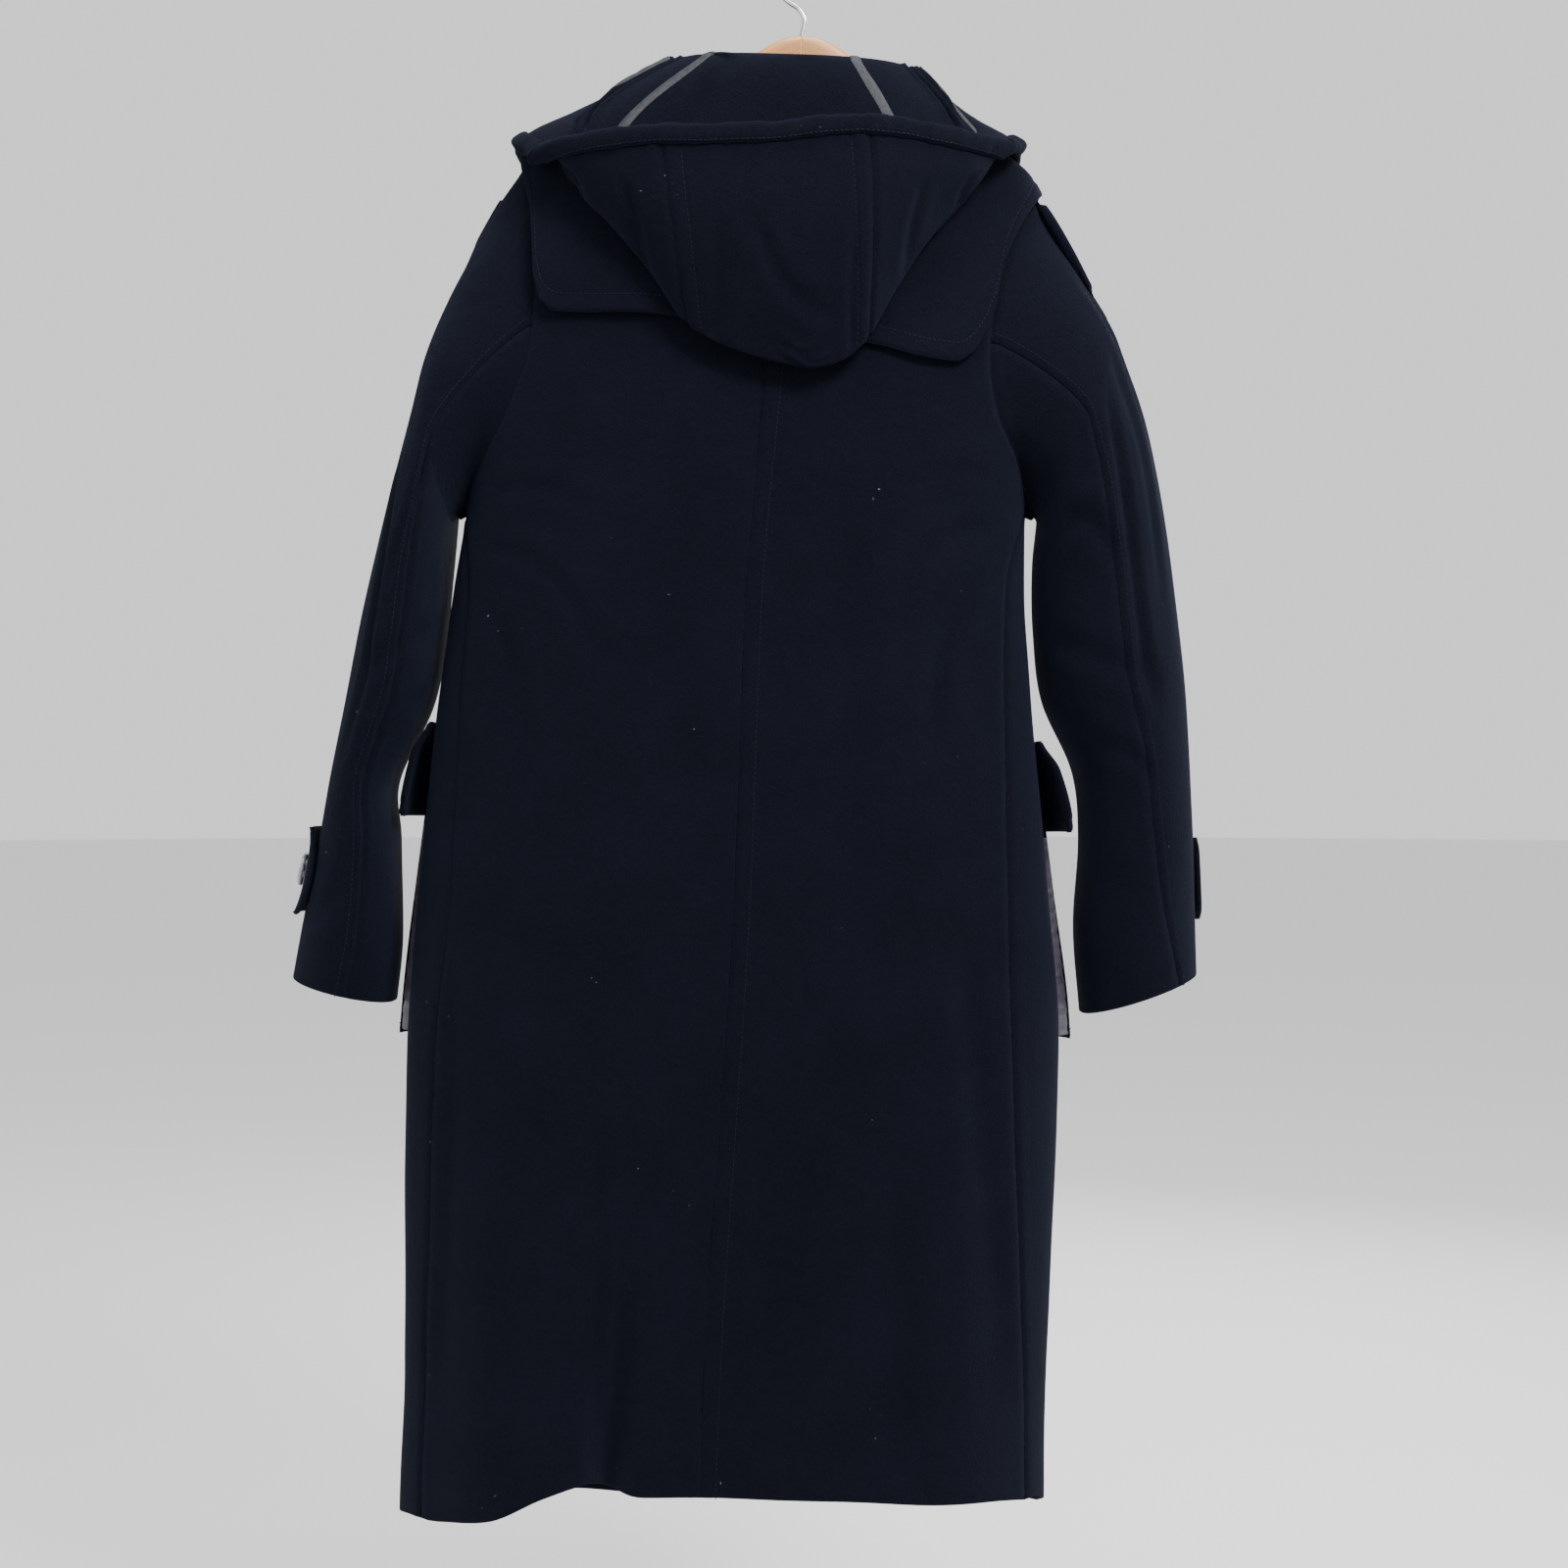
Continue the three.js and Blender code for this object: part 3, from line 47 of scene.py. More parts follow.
bodyRings = dict(
    z=[-1165, -1110, -1035, -900, -800, -690, -610, -540, -470, -412, -360, -290, -230, -190, -172, -154, -125,
       -100, -84],
    left=[-294, -293, -290, -290, -288, -280, -272, -264, -254, -245, -239, -229, -221, -214, -209, -198, -146,
          -96, -66],
    right=[177, 177, 179, 185, 188, 180, 173, 167, 163, 163, 165, 168, 172, 172, 165, 145, 105, 76, 60],
    back=[86, 85, 84, 84, 84, 84, 83, 82, 81, 79, 76, 70, 62, 56, 52, 49, 44, 40, 37],
    front=[70, 70, 69, 68, 67, 66, 65, 64, 63, 62, 60, 57, 52, 48, 46, 44, 42, 41, 40],
    roundness=[2.5] * 12 + [2.4, 2.3, 2.3, 2.2, 2.1, 2.0, 2.0],
)
# Folds of the hanging cloth: a trough goes in, a negative depth stands out
bodyFolds = [
    dict(face="back", hemX=-138, topX=-120, topZ=-860, halfWidth=13, depth=20),
    dict(face="back", hemX=-72, topX=-62, topZ=-640, halfWidth=62, depth=20),
    dict(face="back", hemX=-218, topX=-190, topZ=-720, halfWidth=42, depth=-14),
    dict(face="back", hemX=104, topX=70, topZ=-620, halfWidth=52, depth=-12),
    dict(face="front", hemX=-190, topX=-170, topZ=-700, halfWidth=50, depth=-12),
    dict(face="front", hemX=-112, topX=-102, topZ=-760, halfWidth=44, depth=8),
    dict(face="front", hemX=95, topX=80, topZ=-680, halfWidth=45, depth=-14),
]
# Smaller creases of the body's cloth, from one point to another, each x and z
bodyCreases = [
    dict(face="back", path=[(-150, -1104), (-143, -1000), (-141, -900), (-146, -820)], halfWidth=5, depth=3.4),
    dict(face="back", path=[(-118, -1108), (-117, -1020), (-121, -950)], halfWidth=9, depth=-2.2),
    dict(face="back", path=[(-238, -470), (-214, -505), (-196, -570), (-190, -660)], halfWidth=13, depth=3.2),
    dict(face="back", path=[(-236, -440), (-196, -452), (-160, -486), (-138, -540)], halfWidth=11, depth=2.2),
    dict(face="back", path=[(-225, -400), (-180, -404), (-140, -424)], halfWidth=10, depth=1.8),
    dict(face="back", path=[(148, -452), (118, -470), (96, -520), (88, -600)], halfWidth=13, depth=3.0),
    dict(face="back", path=[(150, -428), (112, -432), (78, -462), (60, -520)], halfWidth=11, depth=2.0),
    dict(face="back", path=[(140, -390), (100, -392), (66, -410)], halfWidth=9, depth=1.5),
    dict(face="back", path=[(-60, -330), (-84, -420), (-92, -540), (-84, -680)], halfWidth=26, depth=2.4),
    dict(face="back", path=[(20, -340), (24, -460), (34, -600), (38, -760)], halfWidth=30, depth=2.2),
    dict(face="back", path=[(110, -700), (124, -840), (136, -980), (140, -1110)], halfWidth=20, depth=3.0),
    dict(face="back", path=[(60, -860), (66, -960), (62, -1110)], halfWidth=24, depth=3.2),
    dict(face="back", path=[(-20, -800), (-16, -930), (-22, -1108)], halfWidth=26, depth=3.0),
    dict(face="back", path=[(-196, -820), (-206, -940), (-204, -1120)], halfWidth=20, depth=3.6),
    dict(face="back", path=[(-250, -700), (-246, -820), (-252, -960), (-256, -1128)], halfWidth=12, depth=2.6),
    dict(face="front", path=[(-210, -440), (-180, -500), (-160, -620)], halfWidth=16, depth=3.0),
    dict(face="front", path=[(130, -440), (110, -520), (100, -640)], halfWidth=16, depth=3.0),
    dict(face="front", path=[(30, -820), (36, -960), (30, -1140)], halfWidth=26, depth=3.0),
    dict(face="front", path=[(-40, -380), (10, -372), (60, -400)], halfWidth=14, depth=1.6),
]
backHem = dict(
    x=[-294, -262, -236, -200, -160, -138, -116, -70, 6, 60, 118, 177],
    z=[-1133, -1133, -1130, -1124, -1107, -1101, -1110, -1113, -1110, -1112, -1116, -1124],
)
frontHem = dict(x=[-294, -220, -120, -20, 90, 177], z=[-1133, -1144, -1153, -1153, -1143, -1124])
centreBackSeam = dict(z=[-1120, -1000, -865, -690, -483, -324, -200, -84],
                      x=[-73, -68, -59, -48, -40, -26, -15, -4])
sideSeams = dict(
    left=dict(z=[-1140, -1056, -891, -804, -690, -540, -470, -412],
              x=[-272, -270, -265, -262, -250, -243, -239, -245.2]),
    right=dict(z=[-1140, -1037, -890, -737, -610, -540, -470, -412],
               x=[160, 158, 152, 147, 145, 144, 146, 163.2]),
)
armholes = dict(
    left=dict(top=-158, bottom=-412, z=[-412, -402, -386, -350, -300, -250, -200, -172, -158],
              x=[-245.2, -242.2, -235, -214, -195, -191, -194, -200, -201]),
    right=dict(top=-182, bottom=-412, z=[-412, -402, -386, -345, -310, -275, -240, -205, -182],
               x=[163.2, 161.8, 158, 139, 134, 137, 144, 158, 171.5]),
)
sleeveRings = dict(
    left=dict(outX=[-274, -298, -316, -330, -343, -353, -366, -376],
              outZ=[-304, -396, -465, -531, -595, -646, -707, -753],
              inX=[-256, -258, -263, -273, -299, -297, -296, -301],
              inZ=[-420, -452, -500, -554, -610, -652, -722, -772],
              depth=[66, 70, 70, 64, 56, 54, 53, 51], middle=[0, 2, 6, 6, 8, 8, 12, 16]),
    right=dict(outX=[231, 253, 268, 279, 285, 288, 291, 293],
               outZ=[-290, -352, -430, -516, -580, -636, -697, -752],
               inX=[173, 170, 171, 177, 200, 205, 202, 207],
               inZ=[-420, -452, -500, -550, -602, -650, -715, -781],
               depth=[60, 62, 62, 58, 54, 52, 50, 48], middle=[0, 2, 5, 6, 10, 12, 16, 20]),
)
sleeve = dict(capShare=0.3, frontSeam=-120, creaseScale=300,
              start=dict(left=(118, 15), right=(92, 15)),
              backSeam=dict(left=([0, 0.3, 0.8, 1], [90, 100, 114, 105]),
                            right=([0, 0.4, 0.75, 1], [90, 88, 86, 56])))
# Creases of the sleeves, by turn in degrees and share along; a share counts creaseScale times in their widths
sleeveCreases = dict(
    left=[
        dict(path=[(40, 0.33), (62, 0.45), (70, 0.6), (66, 0.72)], halfWidth=9, depth=2.6),
        dict(path=[(110, 0.3), (92, 0.38), (78, 0.5)], halfWidth=8, depth=2.2),
        dict(path=[(150, 0.5), (118, 0.53), (88, 0.57), (58, 0.6)], halfWidth=8, depth=2.4),
        dict(path=[(160, 0.58), (126, 0.62), (96, 0.67)], halfWidth=7, depth=1.8),
        dict(path=[(20, 0.12), (28, 0.26), (36, 0.4)], halfWidth=12, depth=2.4),
        dict(path=[(96, 0.84), (60, 0.89), (24, 0.9)], halfWidth=8, depth=1.6),
        dict(path=[(-70, 0.3), (-60, 0.5), (-66, 0.7)], halfWidth=12, depth=2.6),
    ],
    right=[
        dict(path=[(66, 0.3), (72, 0.42), (72, 0.56), (66, 0.68)], halfWidth=8, depth=3.4),
        dict(path=[(46, 0.26), (44, 0.42), (48, 0.58)], halfWidth=9, depth=1.8),
        dict(path=[(130, 0.38), (104, 0.42), (82, 0.5)], halfWidth=9, depth=3.2),
        dict(path=[(150, 0.52), (116, 0.56), (80, 0.6), (50, 0.61)], halfWidth=8, depth=2.2),
        dict(path=[(140, 0.66), (104, 0.69), (74, 0.75)], halfWidth=8, depth=1.8),
        dict(path=[(18, 0.14), (24, 0.3), (22, 0.46)], halfWidth=12, depth=2.0),
        dict(path=[(-70, 0.3), (-60, 0.5), (-66, 0.7)], halfWidth=12, depth=2.6),
    ],
)
neckline = dict(angle=[-180, -140, -90, -45, 0, 45, 90, 140, 180],
                z=[-158, -138, -103, -101, -103, -104, -110, -140, -158])
centreFront = dict(z=[-1150, -700, -300, -158], x=[-60, -48, -24, -8])
seamFoot = dict(left=-272, right=160)


radians = np.radians


def mix(a, b, t):
    return a + (b - a) * t


def smooth(t):
    s = np.clip(t, 0, 1)
    return s * s * (3 - 2 * s)


# A value read smoothly between the entries of two lists, without overshoot
def read(xs, ys, at):
    xs, ys = np.asarray(xs, float), np.asarray(ys, float)
    if xs[0] > xs[-1]:
        xs, ys = xs[::-1], ys[::-1]
    rise = np.diff(ys) / np.diff(xs)
    slope = np.empty_like(ys)
    slope[0], slope[-1] = rise[0], rise[-1]
    a, b = rise[:-1], rise[1:]
    slope[1:-1] = np.where(a * b > 0, 2 * a * b / np.where(a + b == 0, 1, a + b), 0)
    at = np.clip(np.asarray(at, float), xs[0], xs[-1])
    i = np.clip(np.searchsorted(xs, at, side="right") - 1, 0, len(xs) - 2)
    w = xs[i + 1] - xs[i]
    t = (at - xs[i]) / w
    return ((2 * t**3 - 3 * t**2 + 1) * ys[i] + (t**3 - 2 * t**2 + t) * w * slope[i]
            + (-2 * t**3 + 3 * t**2) * ys[i + 1] + (t**3 - t**2) * w * slope[i + 1])


def unit(v):
    return v / np.maximum(np.linalg.norm(v, axis=-1, keepdims=True), 1e-12)


# A crease is a soft trough with a low ridge beside it, and it fades at its ends
creaseShape = dict(steps=24, reach=4.6, ridge=0.32, ridgeOff=2.1, ridgeWidth=1.1, fadeIn=5, fadeOut=3.2,
                   width=0.75, swell=0.5, swellLength=2.6)


# How deep the creases are at points of a plane
def creaseDepth(creases, px, py):
    px, py = np.broadcast_arrays(np.asarray(px, float), np.asarray(py, float))
    total, shape = np.zeros(px.shape), creaseShape
    for crease in creases:
        path = np.array(crease["path"], float)
        way = np.concatenate([[0], np.cumsum(np.hypot(*np.diff(path, axis=0).T))])
        fine = np.linspace(0, way[-1], shape["steps"])
        fx, fy = read(way, path[:, 0], fine), read(way, path[:, 1], fine)
        reach = shape["reach"] * crease["halfWidth"]
        close = ((px > fx.min() - reach) & (px < fx.max() + reach)
                 & (py > fy.min() - reach) & (py < fy.max() + reach))
        x, y = px[close], py[close]
        off, place = np.full(x.shape, 1e9), np.zeros(x.shape)
        last = shape["steps"] - 1
        for k in range(last):
            ax, ay, dx, dy = fx[k], fy[k], fx[k + 1] - fx[k], fy[k + 1] - fy[k]
            t = np.clip(((x - ax) * dx + (y - ay) * dy) / (dx * dx + dy * dy + 1e-9), 0, 1)
            d = np.hypot(x - ax - t * dx, y - ay - t * dy)
            near = d < off
            off, place = np.where(near, d, off), np.where(near, (k + t) / last, place)
        swell = shape["width"] + shape["swell"] * np.sin(place * shape["swellLength"] + len(path))
        w = crease["halfWidth"] * np.maximum(swell, 0.5)
        fade = np.minimum(smooth(place * shape["fadeIn"]), smooth((1 - place) * shape["fadeOut"]))
        trough = np.exp(-(off / w) ** 2)
        ridge = shape["ridge"] * np.exp(-((off - shape["ridgeOff"] * w) / (shape["ridgeWidth"] * w)) ** 2)
        total[close] += crease["depth"] * fade * (trough - ridge)
    return total


# The same for creases whose paths are given as a place across and a share along
def creasesAlong(creases, across, along, scale):
    scaled = [dict(crease, path=[(a, b * scale) for a, b in crease["path"]]) for crease in creases]
    return creaseDepth(scaled, across, along * scale)


def ringValue(column, z):
    return read(bodyRings["z"], bodyRings[column], z)


# The folds and creases are worked out once, on a fine grid of x and z
gridStep = 1.5
foldGrid = dict(x=np.arange(-262.0, 250.0, gridStep), z=np.arange(-1170.0, -50.0, gridStep))


def foldsOf(face):
    x, z = np.meshgrid(foldGrid["x"], foldGrid["z"])
    total = creaseDepth([c for c in bodyCreases if c["face"] == face], x, z)
    for fold in bodyFolds:
        if fold["face"] == face:
            down = smooth((fold["topZ"] - z) / (fold["topZ"] - centreFront["z"][0]))
            off = (x - mix(fold["topX"], fold["hemX"], down)) / fold["halfWidth"]
            total += fold["depth"] * down * np.exp(-off * off)
    return total


foldMaps = {face: foldsOf(face) for face in ("back", "front")}


def foldDepth(face, x, z):
    column = np.clip((x - foldGrid["x"][0]) / gridStep, 0, foldGrid["x"].size - 1.001)
    row = np.clip((z - foldGrid["z"][0]) / gridStep, 0, foldGrid["z"].size - 1.001)
    i, j = row.astype(int), column.astype(int)
    a, b = row - i, column - j
    table = foldMaps[face]
    return mix(table[i, j], table[i, j + 1], b) * (1 - a) + mix(table[i + 1, j], table[i + 1, j + 1], b) * a


# A point of the body's outer face: 0 degrees is the centre back, 90 the right side
def bodyFace(angle, z):
    angle, z = np.broadcast_arrays(np.asarray(angle, float), np.asarray(z, float))
    left, right, n = ringValue("left", z), ringValue("right", z), ringValue("roundness", z)
    s, c = np.sin(radians(angle)), np.cos(radians(angle))
    x = (left + right) / 2 + (right - left) / 2 * s
    around = np.maximum(1 - np.abs(s) ** n, 0) ** (1 / n)
    back = (ringValue("back", z) - foldDepth("back", x, z)) * around
    front = (ringValue("front", z) - foldDepth("front", x, z)) * around
    return np.stack([x, np.where(c > 0, -back, front), z], -1)


# The same point, moved out of the cloth by "out"
def bodyPoint(angle, z, out=0.0):
    point = bodyFace(angle, z)
    across = bodyFace(np.asarray(angle) + 1.5, z) - bodyFace(np.asarray(angle) - 1.5, z)
    up = bodyFace(angle, np.asarray(z) + 3) - bodyFace(angle, np.asarray(z) - 3)
    return point + unit(np.cross(across, up)) * np.asarray(out, float)[..., None]


# The angle at which the body's face has this x
def angleAt(x, z, face="back"):
    left, right = ringValue("left", z), ringValue("right", z)
    angle = np.degrees(np.arcsin(np.clip((x - (left + right) / 2) / ((right - left) / 2), -1, 1)))
    if face == "back":
        return angle
    return np.where(angle >= 0, 180 - angle, -180 - angle)


def frontAngle(side, x, z):
    left, right = ringValue("left", z), ringValue("right", z)
    return sides[side] * 180 - np.degrees(np.arcsin((x - (left + right) / 2) / ((right - left) / 2)))


def neckZ(angle):
    angle = np.asarray(angle, float)
    wrapped = np.where(angle > 180, angle - 360, np.where(angle < -180, angle + 360, angle))
    return read(neckline["angle"], neckline["z"], wrapped)


# Where a body panel ends at its side: the shoulder, then the armhole, then the side seam
def panelEdge(side, face, z):
    hole = armholes[side]
    seam = angleAt(read(sideSeams[side]["z"], sideSeams[side]["x"], z), z, "back")
    edge = angleAt(read(hole["z"], hole["x"], z), z, face)
    return np.where(z >= hole["top"], sides[side] * 90.0, np.where(z > hole["bottom"], edge, seam))


def backPanel(side):
    foot = seamFoot[side]
    neckAngle = sides[side] * 90

    def surface(u, v, out):
        hem = read(backHem["x"], backHem["z"], mix(foot, centreBackSeam["x"][0], u))
        z = mix(hem, neckZ(neckAngle * (1 - u)), v)
        seam = angleAt(read(centreBackSeam["z"], centreBackSeam["x"], z), z)
        return bodyPoint(mix(panelEdge(side, "back", z), seam, u), z, out)
    return surface


# The fronts lap at the middle: the right one steps out over the left one
lapRise = (34.0, 4.0)


def frontEdgeX(side, z):
    return read(centreFront["z"], centreFront["x"], z) - sides[side] * coat["overlap"] / 2


def lapEndX(z):
    return read(centreFront["z"], centreFront["x"], z) + coat["overlap"] / 2


def lapOut(side, x, z):
    if side == "left":
        return np.zeros(np.broadcast(x, z).shape)
    start, end = lapRise
    return (coat["cloth"] + coat["layerGap"]) * smooth((lapEndX(z) + start - x) / (start - end))


def frontPoint(side, angle, z, out):
    return bodyPoint(angle, z, out + lapOut(side, bodyFace(angle, z)[..., 0], z))


def frontPanel(side):
    foot = seamFoot[side]
    neckFront = neckline["z"][0]
    neckEdge = float(frontAngle(side, frontEdgeX(side, neckFront), neckFront))

    def surface(u, v, out):
        neck = neckZ(mix(sides[side] * 90, neckEdge, u))
        footZ = read(backHem["x"], backHem["z"], foot)
        hemX = mix(foot, frontEdgeX(side, centreFront["z"][0]), u)
        z = mix(mix(footZ, read(frontHem["x"], frontHem["z"], hemX), smooth(u * 4)), neck, v)
        limit = frontAngle(side, frontEdgeX(side, z), z)
        return frontPoint(side, mix(panelEdge(side, "front", z), limit, u), z, out)
    return surface


# Sleeves: turn 0 is the outer edge, 90 the back, 180 the inner edge
def armholePoint(side, turn, out=0.0):
    turn = np.asarray(turn, float)
    hole = armholes[side]
    z = mix(hole["top"], hole["bottom"], (1 - np.cos(radians(turn))) / 2)
    x = read(hole["z"], hole["x"], z)
    angle = np.where(np.sin(radians(turn)) >= 0, angleAt(x, z, "back"), angleAt(x, z, "front"))
    top = np.abs(np.sin(radians(turn / 2))) < 1e-6
    return bodyPoint(np.where(top, sides[side] * 90, angle), z, out)


# The armhole's line, its way out of the cloth and its own direction, tabled by turn
def armholeTable(side):
    turns = np.arange(-185.0, 560.0, 1.0)
    start = armholePoint(side, turns)
    normal = armholePoint(side, turns, 1.0) - start
    edge = armholePoint(side, turns + 2) - armholePoint(side, turns - 2)
    return turns, np.concatenate([start, normal, edge], -1)


armholeTables = {side: armholeTable(side) for side in sides}


def armholeAt(side, turn):
    turns, table = armholeTables[side]
    at = np.clip(turn - turns[0], 0, turns.size - 1.001)
    i = at.astype(int)
    row = mix(table[i], table[i + 1], (at - i)[..., None])
    return row[..., :3], row[..., 3:6], row[..., 6:]


def hermite(a, aWay, b, bWay, t):
    t = np.asarray(t)[..., None]
    return (a * (2 * t**3 - 3 * t**2 + 1) + aWay * (t**3 - 2 * t**2 + t)
            + b * (3 * t**2 - 2 * t**3) + bWay * (t**3 - t**2))


# Each ring of a sleeve is an ellipse that leans between its outer and its inner edge
def sleeveRingPoint(side, k, turn):
    ring = {key: np.asarray(column, float)[k] for key, column in sleeveRings[side].items()}
    c, s = np.cos(radians(turn)), np.sin(radians(turn))
    return np.stack([
        (ring["outX"] + ring["inX"]) / 2 + (ring["outX"] - ring["inX"]) / 2 * c,
        ring["middle"] - ring["depth"] * s,
        (ring["outZ"] + ring["inZ"]) / 2 + (ring["outZ"] - ring["inZ"]) / 2 * c], -1)


# A point of a sleeve's outer face: the cap runs from the armhole to the first ring, and the rest down the rings
def sleeveFace(side, turn, along):
    turn, along = np.broadcast_arrays(np.asarray(turn, float), np.asarray(along, float))
    last = len(sleeveRings[side]["outX"]) - 1
    at = np.clip((along - sleeve["capShare"]) / (1 - sleeve["capShare"]) * last, 0, last - 1e-6)
    i = np.floor(at).astype(int)

    def way(k):
        after, before = np.minimum(k + 1, last), np.maximum(k - 1, 0)
        full = sleeveRingPoint(side, after, turn) - sleeveRingPoint(side, before, turn)
        return full * np.where((k > 0) & (k < last), 0.5, 1.0)[..., None]
    lower = hermite(sleeveRingPoint(side, i, turn), way(i),
                    sleeveRingPoint(side, i + 1, turn), way(i + 1), at - i)
    start, normal, edge = armholeAt(side, turn)
    off = unit(np.cross(edge, normal)) * -sides[side]
    outer, inner = sleeve["start"][side]
    length = mix(outer, inner, (1 - np.cos(radians(turn))) / 2)[..., None]
    zero = np.zeros(turn.shape, int)
    first = sleeveRingPoint(side, zero, turn)
    down = unit(sleeveRingPoint(side, zero + 1, turn) - first)
    cap = hermite(start, off * length, first, down * length, np.clip(along / sleeve["capShare"], 0, 1))
    return np.where((along >= sleeve["capShare"])[..., None], lower, cap)


def sleevePoint(side, turn, along, out=0.0):
    turn, along = np.broadcast_arrays(np.asarray(turn, float), np.asarray(along, float))
    point = sleeveFace(side, turn, along)
    around = sleeveFace(side, turn + 2, along) - sleeveFace(side, turn - 2, along)
    down = (sleeveFace(side, turn, np.minimum(along + 0.01, 1))
            - sleeveFace(side, turn, np.maximum(along - 0.01, 0)))
    own = unit(np.cross(down, around)) * -sides[side]
    body = unit(armholeAt(side, turn)[1])
    normal = unit(body + (own - body) * smooth(along / 0.12)[..., None])
    crease = creasesAlong(sleeveCreases[side], turn, along, sleeve["creaseScale"])
    return point + normal * (np.asarray(out, float) - crease * smooth(along / 0.1))[..., None]


# The shoulder yoke, a cape over the back and both fronts
yoke = dict(
    z=[-269, -278, -280, -282, -289, -297, -304, -312, -314, -305, -290],
    x=[-184, -174, -150, -113, -60, 0, 51, 84, 106, 120, 128],
    frontZ=-292, frontRound=22, gap=2.6, topGap=5.0, inset=1.2, stitchIn=13.0,
    lift=1.4, liftHeight=14, height=60, backTo=88,
)
yokeSideTurns = np.concatenate([np.linspace(0, 60, 15), [65, 70, 74]])


# The lower edge of the yoke all round, as angles and heights
def yokeOutline():
    def sideEdge(side, last):
        turns = np.append(yokeSideTurns[yokeSideTurns < last], last)
        hole = armholes[side]
        z = mix(hole["top"], hole["bottom"], (1 - np.cos(radians(turns))) / 2) + yoke["inset"]
        angle = panelEdge(side, "back", z) - np.where(turns == 0, 0, sides[side] * yoke["inset"])
        return list(zip(angle, z))
    footAngle = angleAt(np.array(yoke["x"], float), np.array(yoke["z"], float))
    fine = np.linspace(footAngle[0], footAngle[-1], 70)
    foot = list(zip(fine, read(footAngle, yoke["z"], fine)))
    back = sorted(sideEdge("left", 74) + foot + sideEdge("right", 78))

    def front(side):
        sign = sides[side]
        z = yoke["frontZ"]
        limitX = frontEdgeX("right", z) - (0 if side == "right" else 2.5)
        limit = float(frontAngle(side, limitX, z)) - (yoke["inset"] if side == "right" else 0)
        mirrored = [(sign * (180 - abs(a)), b) for a, b in back if a * sign > 0 and abs(a) < 90]
        start = max(abs(a) for a, b in mirrored if b > z + yoke["frontRound"])
        mirrored = [(a, b) for a, b in mirrored if abs(a) <= start]
        more = [(a, z + yoke["frontRound"] * (1 - smooth((abs(a) - start) / 5)))
                for a in np.linspace(sign * (start + 0.6), limit, 46)]
        return sorted(mirrored + more)
    outline = front("left") + back + front("right")
    return np.array([p[0] for p in outline]), np.array([p[1] for p in outline])


yokeAngles, yokeFoot = yokeOutline()


def yokeSurface(u, v, out):
    at = u * (len(yokeAngles) - 1)
    angle = np.interp(at, np.arange(len(yokeAngles)), yokeAngles)
    foot = np.interp(at, np.arange(len(yokeAngles)), yokeFoot)
    z = mix(foot, neckZ(angle) - yoke["topGap"], v)
    x = bodyFace(angle, z)[..., 0]
    step = np.where((np.abs(angle) > 90) & (angle > 0), lapOut("right", x, z), 0)
    # its lower edge stands off the back a little, more in some places than in others
    lift = yoke["lift"] * np.exp(-((v * yoke["height"]) / yoke["liftHeight"]) ** 2)
    lift = lift * (1 + 0.7 * np.sin(angle * 0.21))
    return bodyPoint(angle, z,
                     out + step + yoke["gap"] + coat["cloth"] + lift * (np.abs(angle) < yoke["backTo"]))


# The hood, dropped down the back: each column runs from the neck seam to the pouch's fold and up to the edge
hood = dict(
    at=[0, 1, 2, 3, 3.6, 4.2, 5, 6, 7, 8, 9, 10, 11, 12, 13, 14, 15, 16, 17, 18, 19, 19.6, 20.2, 21, 22, 23,
        24],
    neck=[-166, -150, -125, -103, -92, -84, -76, -66, -58, -48, -38, -26, -12, 5, 20, 31, 42, 54, 64, 74, 83,
          90, 99, 112, 135, 155, 170],
    face=["front"] * 4 + ["ridge"] + ["back"] * 16 + ["ridge"] + ["front"] * 5,
    foldX=[-58, -76, -90, -132, -160, -158, -160, -154, -134, -107, -80, -56, -24, 6, 28, 45, 61, 82, 102, 120,
           119, 112, 110, 92, 58, 26, 2],
    foldZ=[-168, -166, -156, -144, -133, -148, -168, -196, -220, -254, -293, -308, -319, -325, -318, -301,
           -273, -238, -212, -190, -160, -136, -148, -152, -162, -172, -176],
    edgeX=[-60, -92, -130, -164, -187, -178, -173, -158, -134, -112, -92, -60, -24, 6, 26, 42, 62, 84, 106,
           127, 134, 141, 136, 122, 84, 42, 10],
    edgeZ=[-178, -182, -176, -162, -148, -160, -172, -179, -182, -184, -185, -187, -187, -184, -182, -181,
           -181, -182, -182, -178, -165, -151, -166, -178, -186, -190, -184],
    edgeOut=[10, 10, 10, 11, 12, 14, 21, 31, 42, 49, 53, 56, 58, 58, 57, 56, 53, 48, 41, 28, 18, 12, 10, 10,
             10, 10, 10],
    open=[0, 0, 0, 0, 0, 0.1, 0.4, 0.8, 1, 1, 1, 1, 1, 1, 1, 1, 1, 1, 0.9, 0.6, 0.2, 0, 0, 0, 0, 0, 0],
)
hoodMake = dict(seamLeft=9.0, seamRight=14.0, neckGap=1.4, out=9.8, rollHeight=15.0, rollDepth=9.5, rollGap=0.3,
                stitchIn=13.0, creaseScale=14, middle=12, end=24)
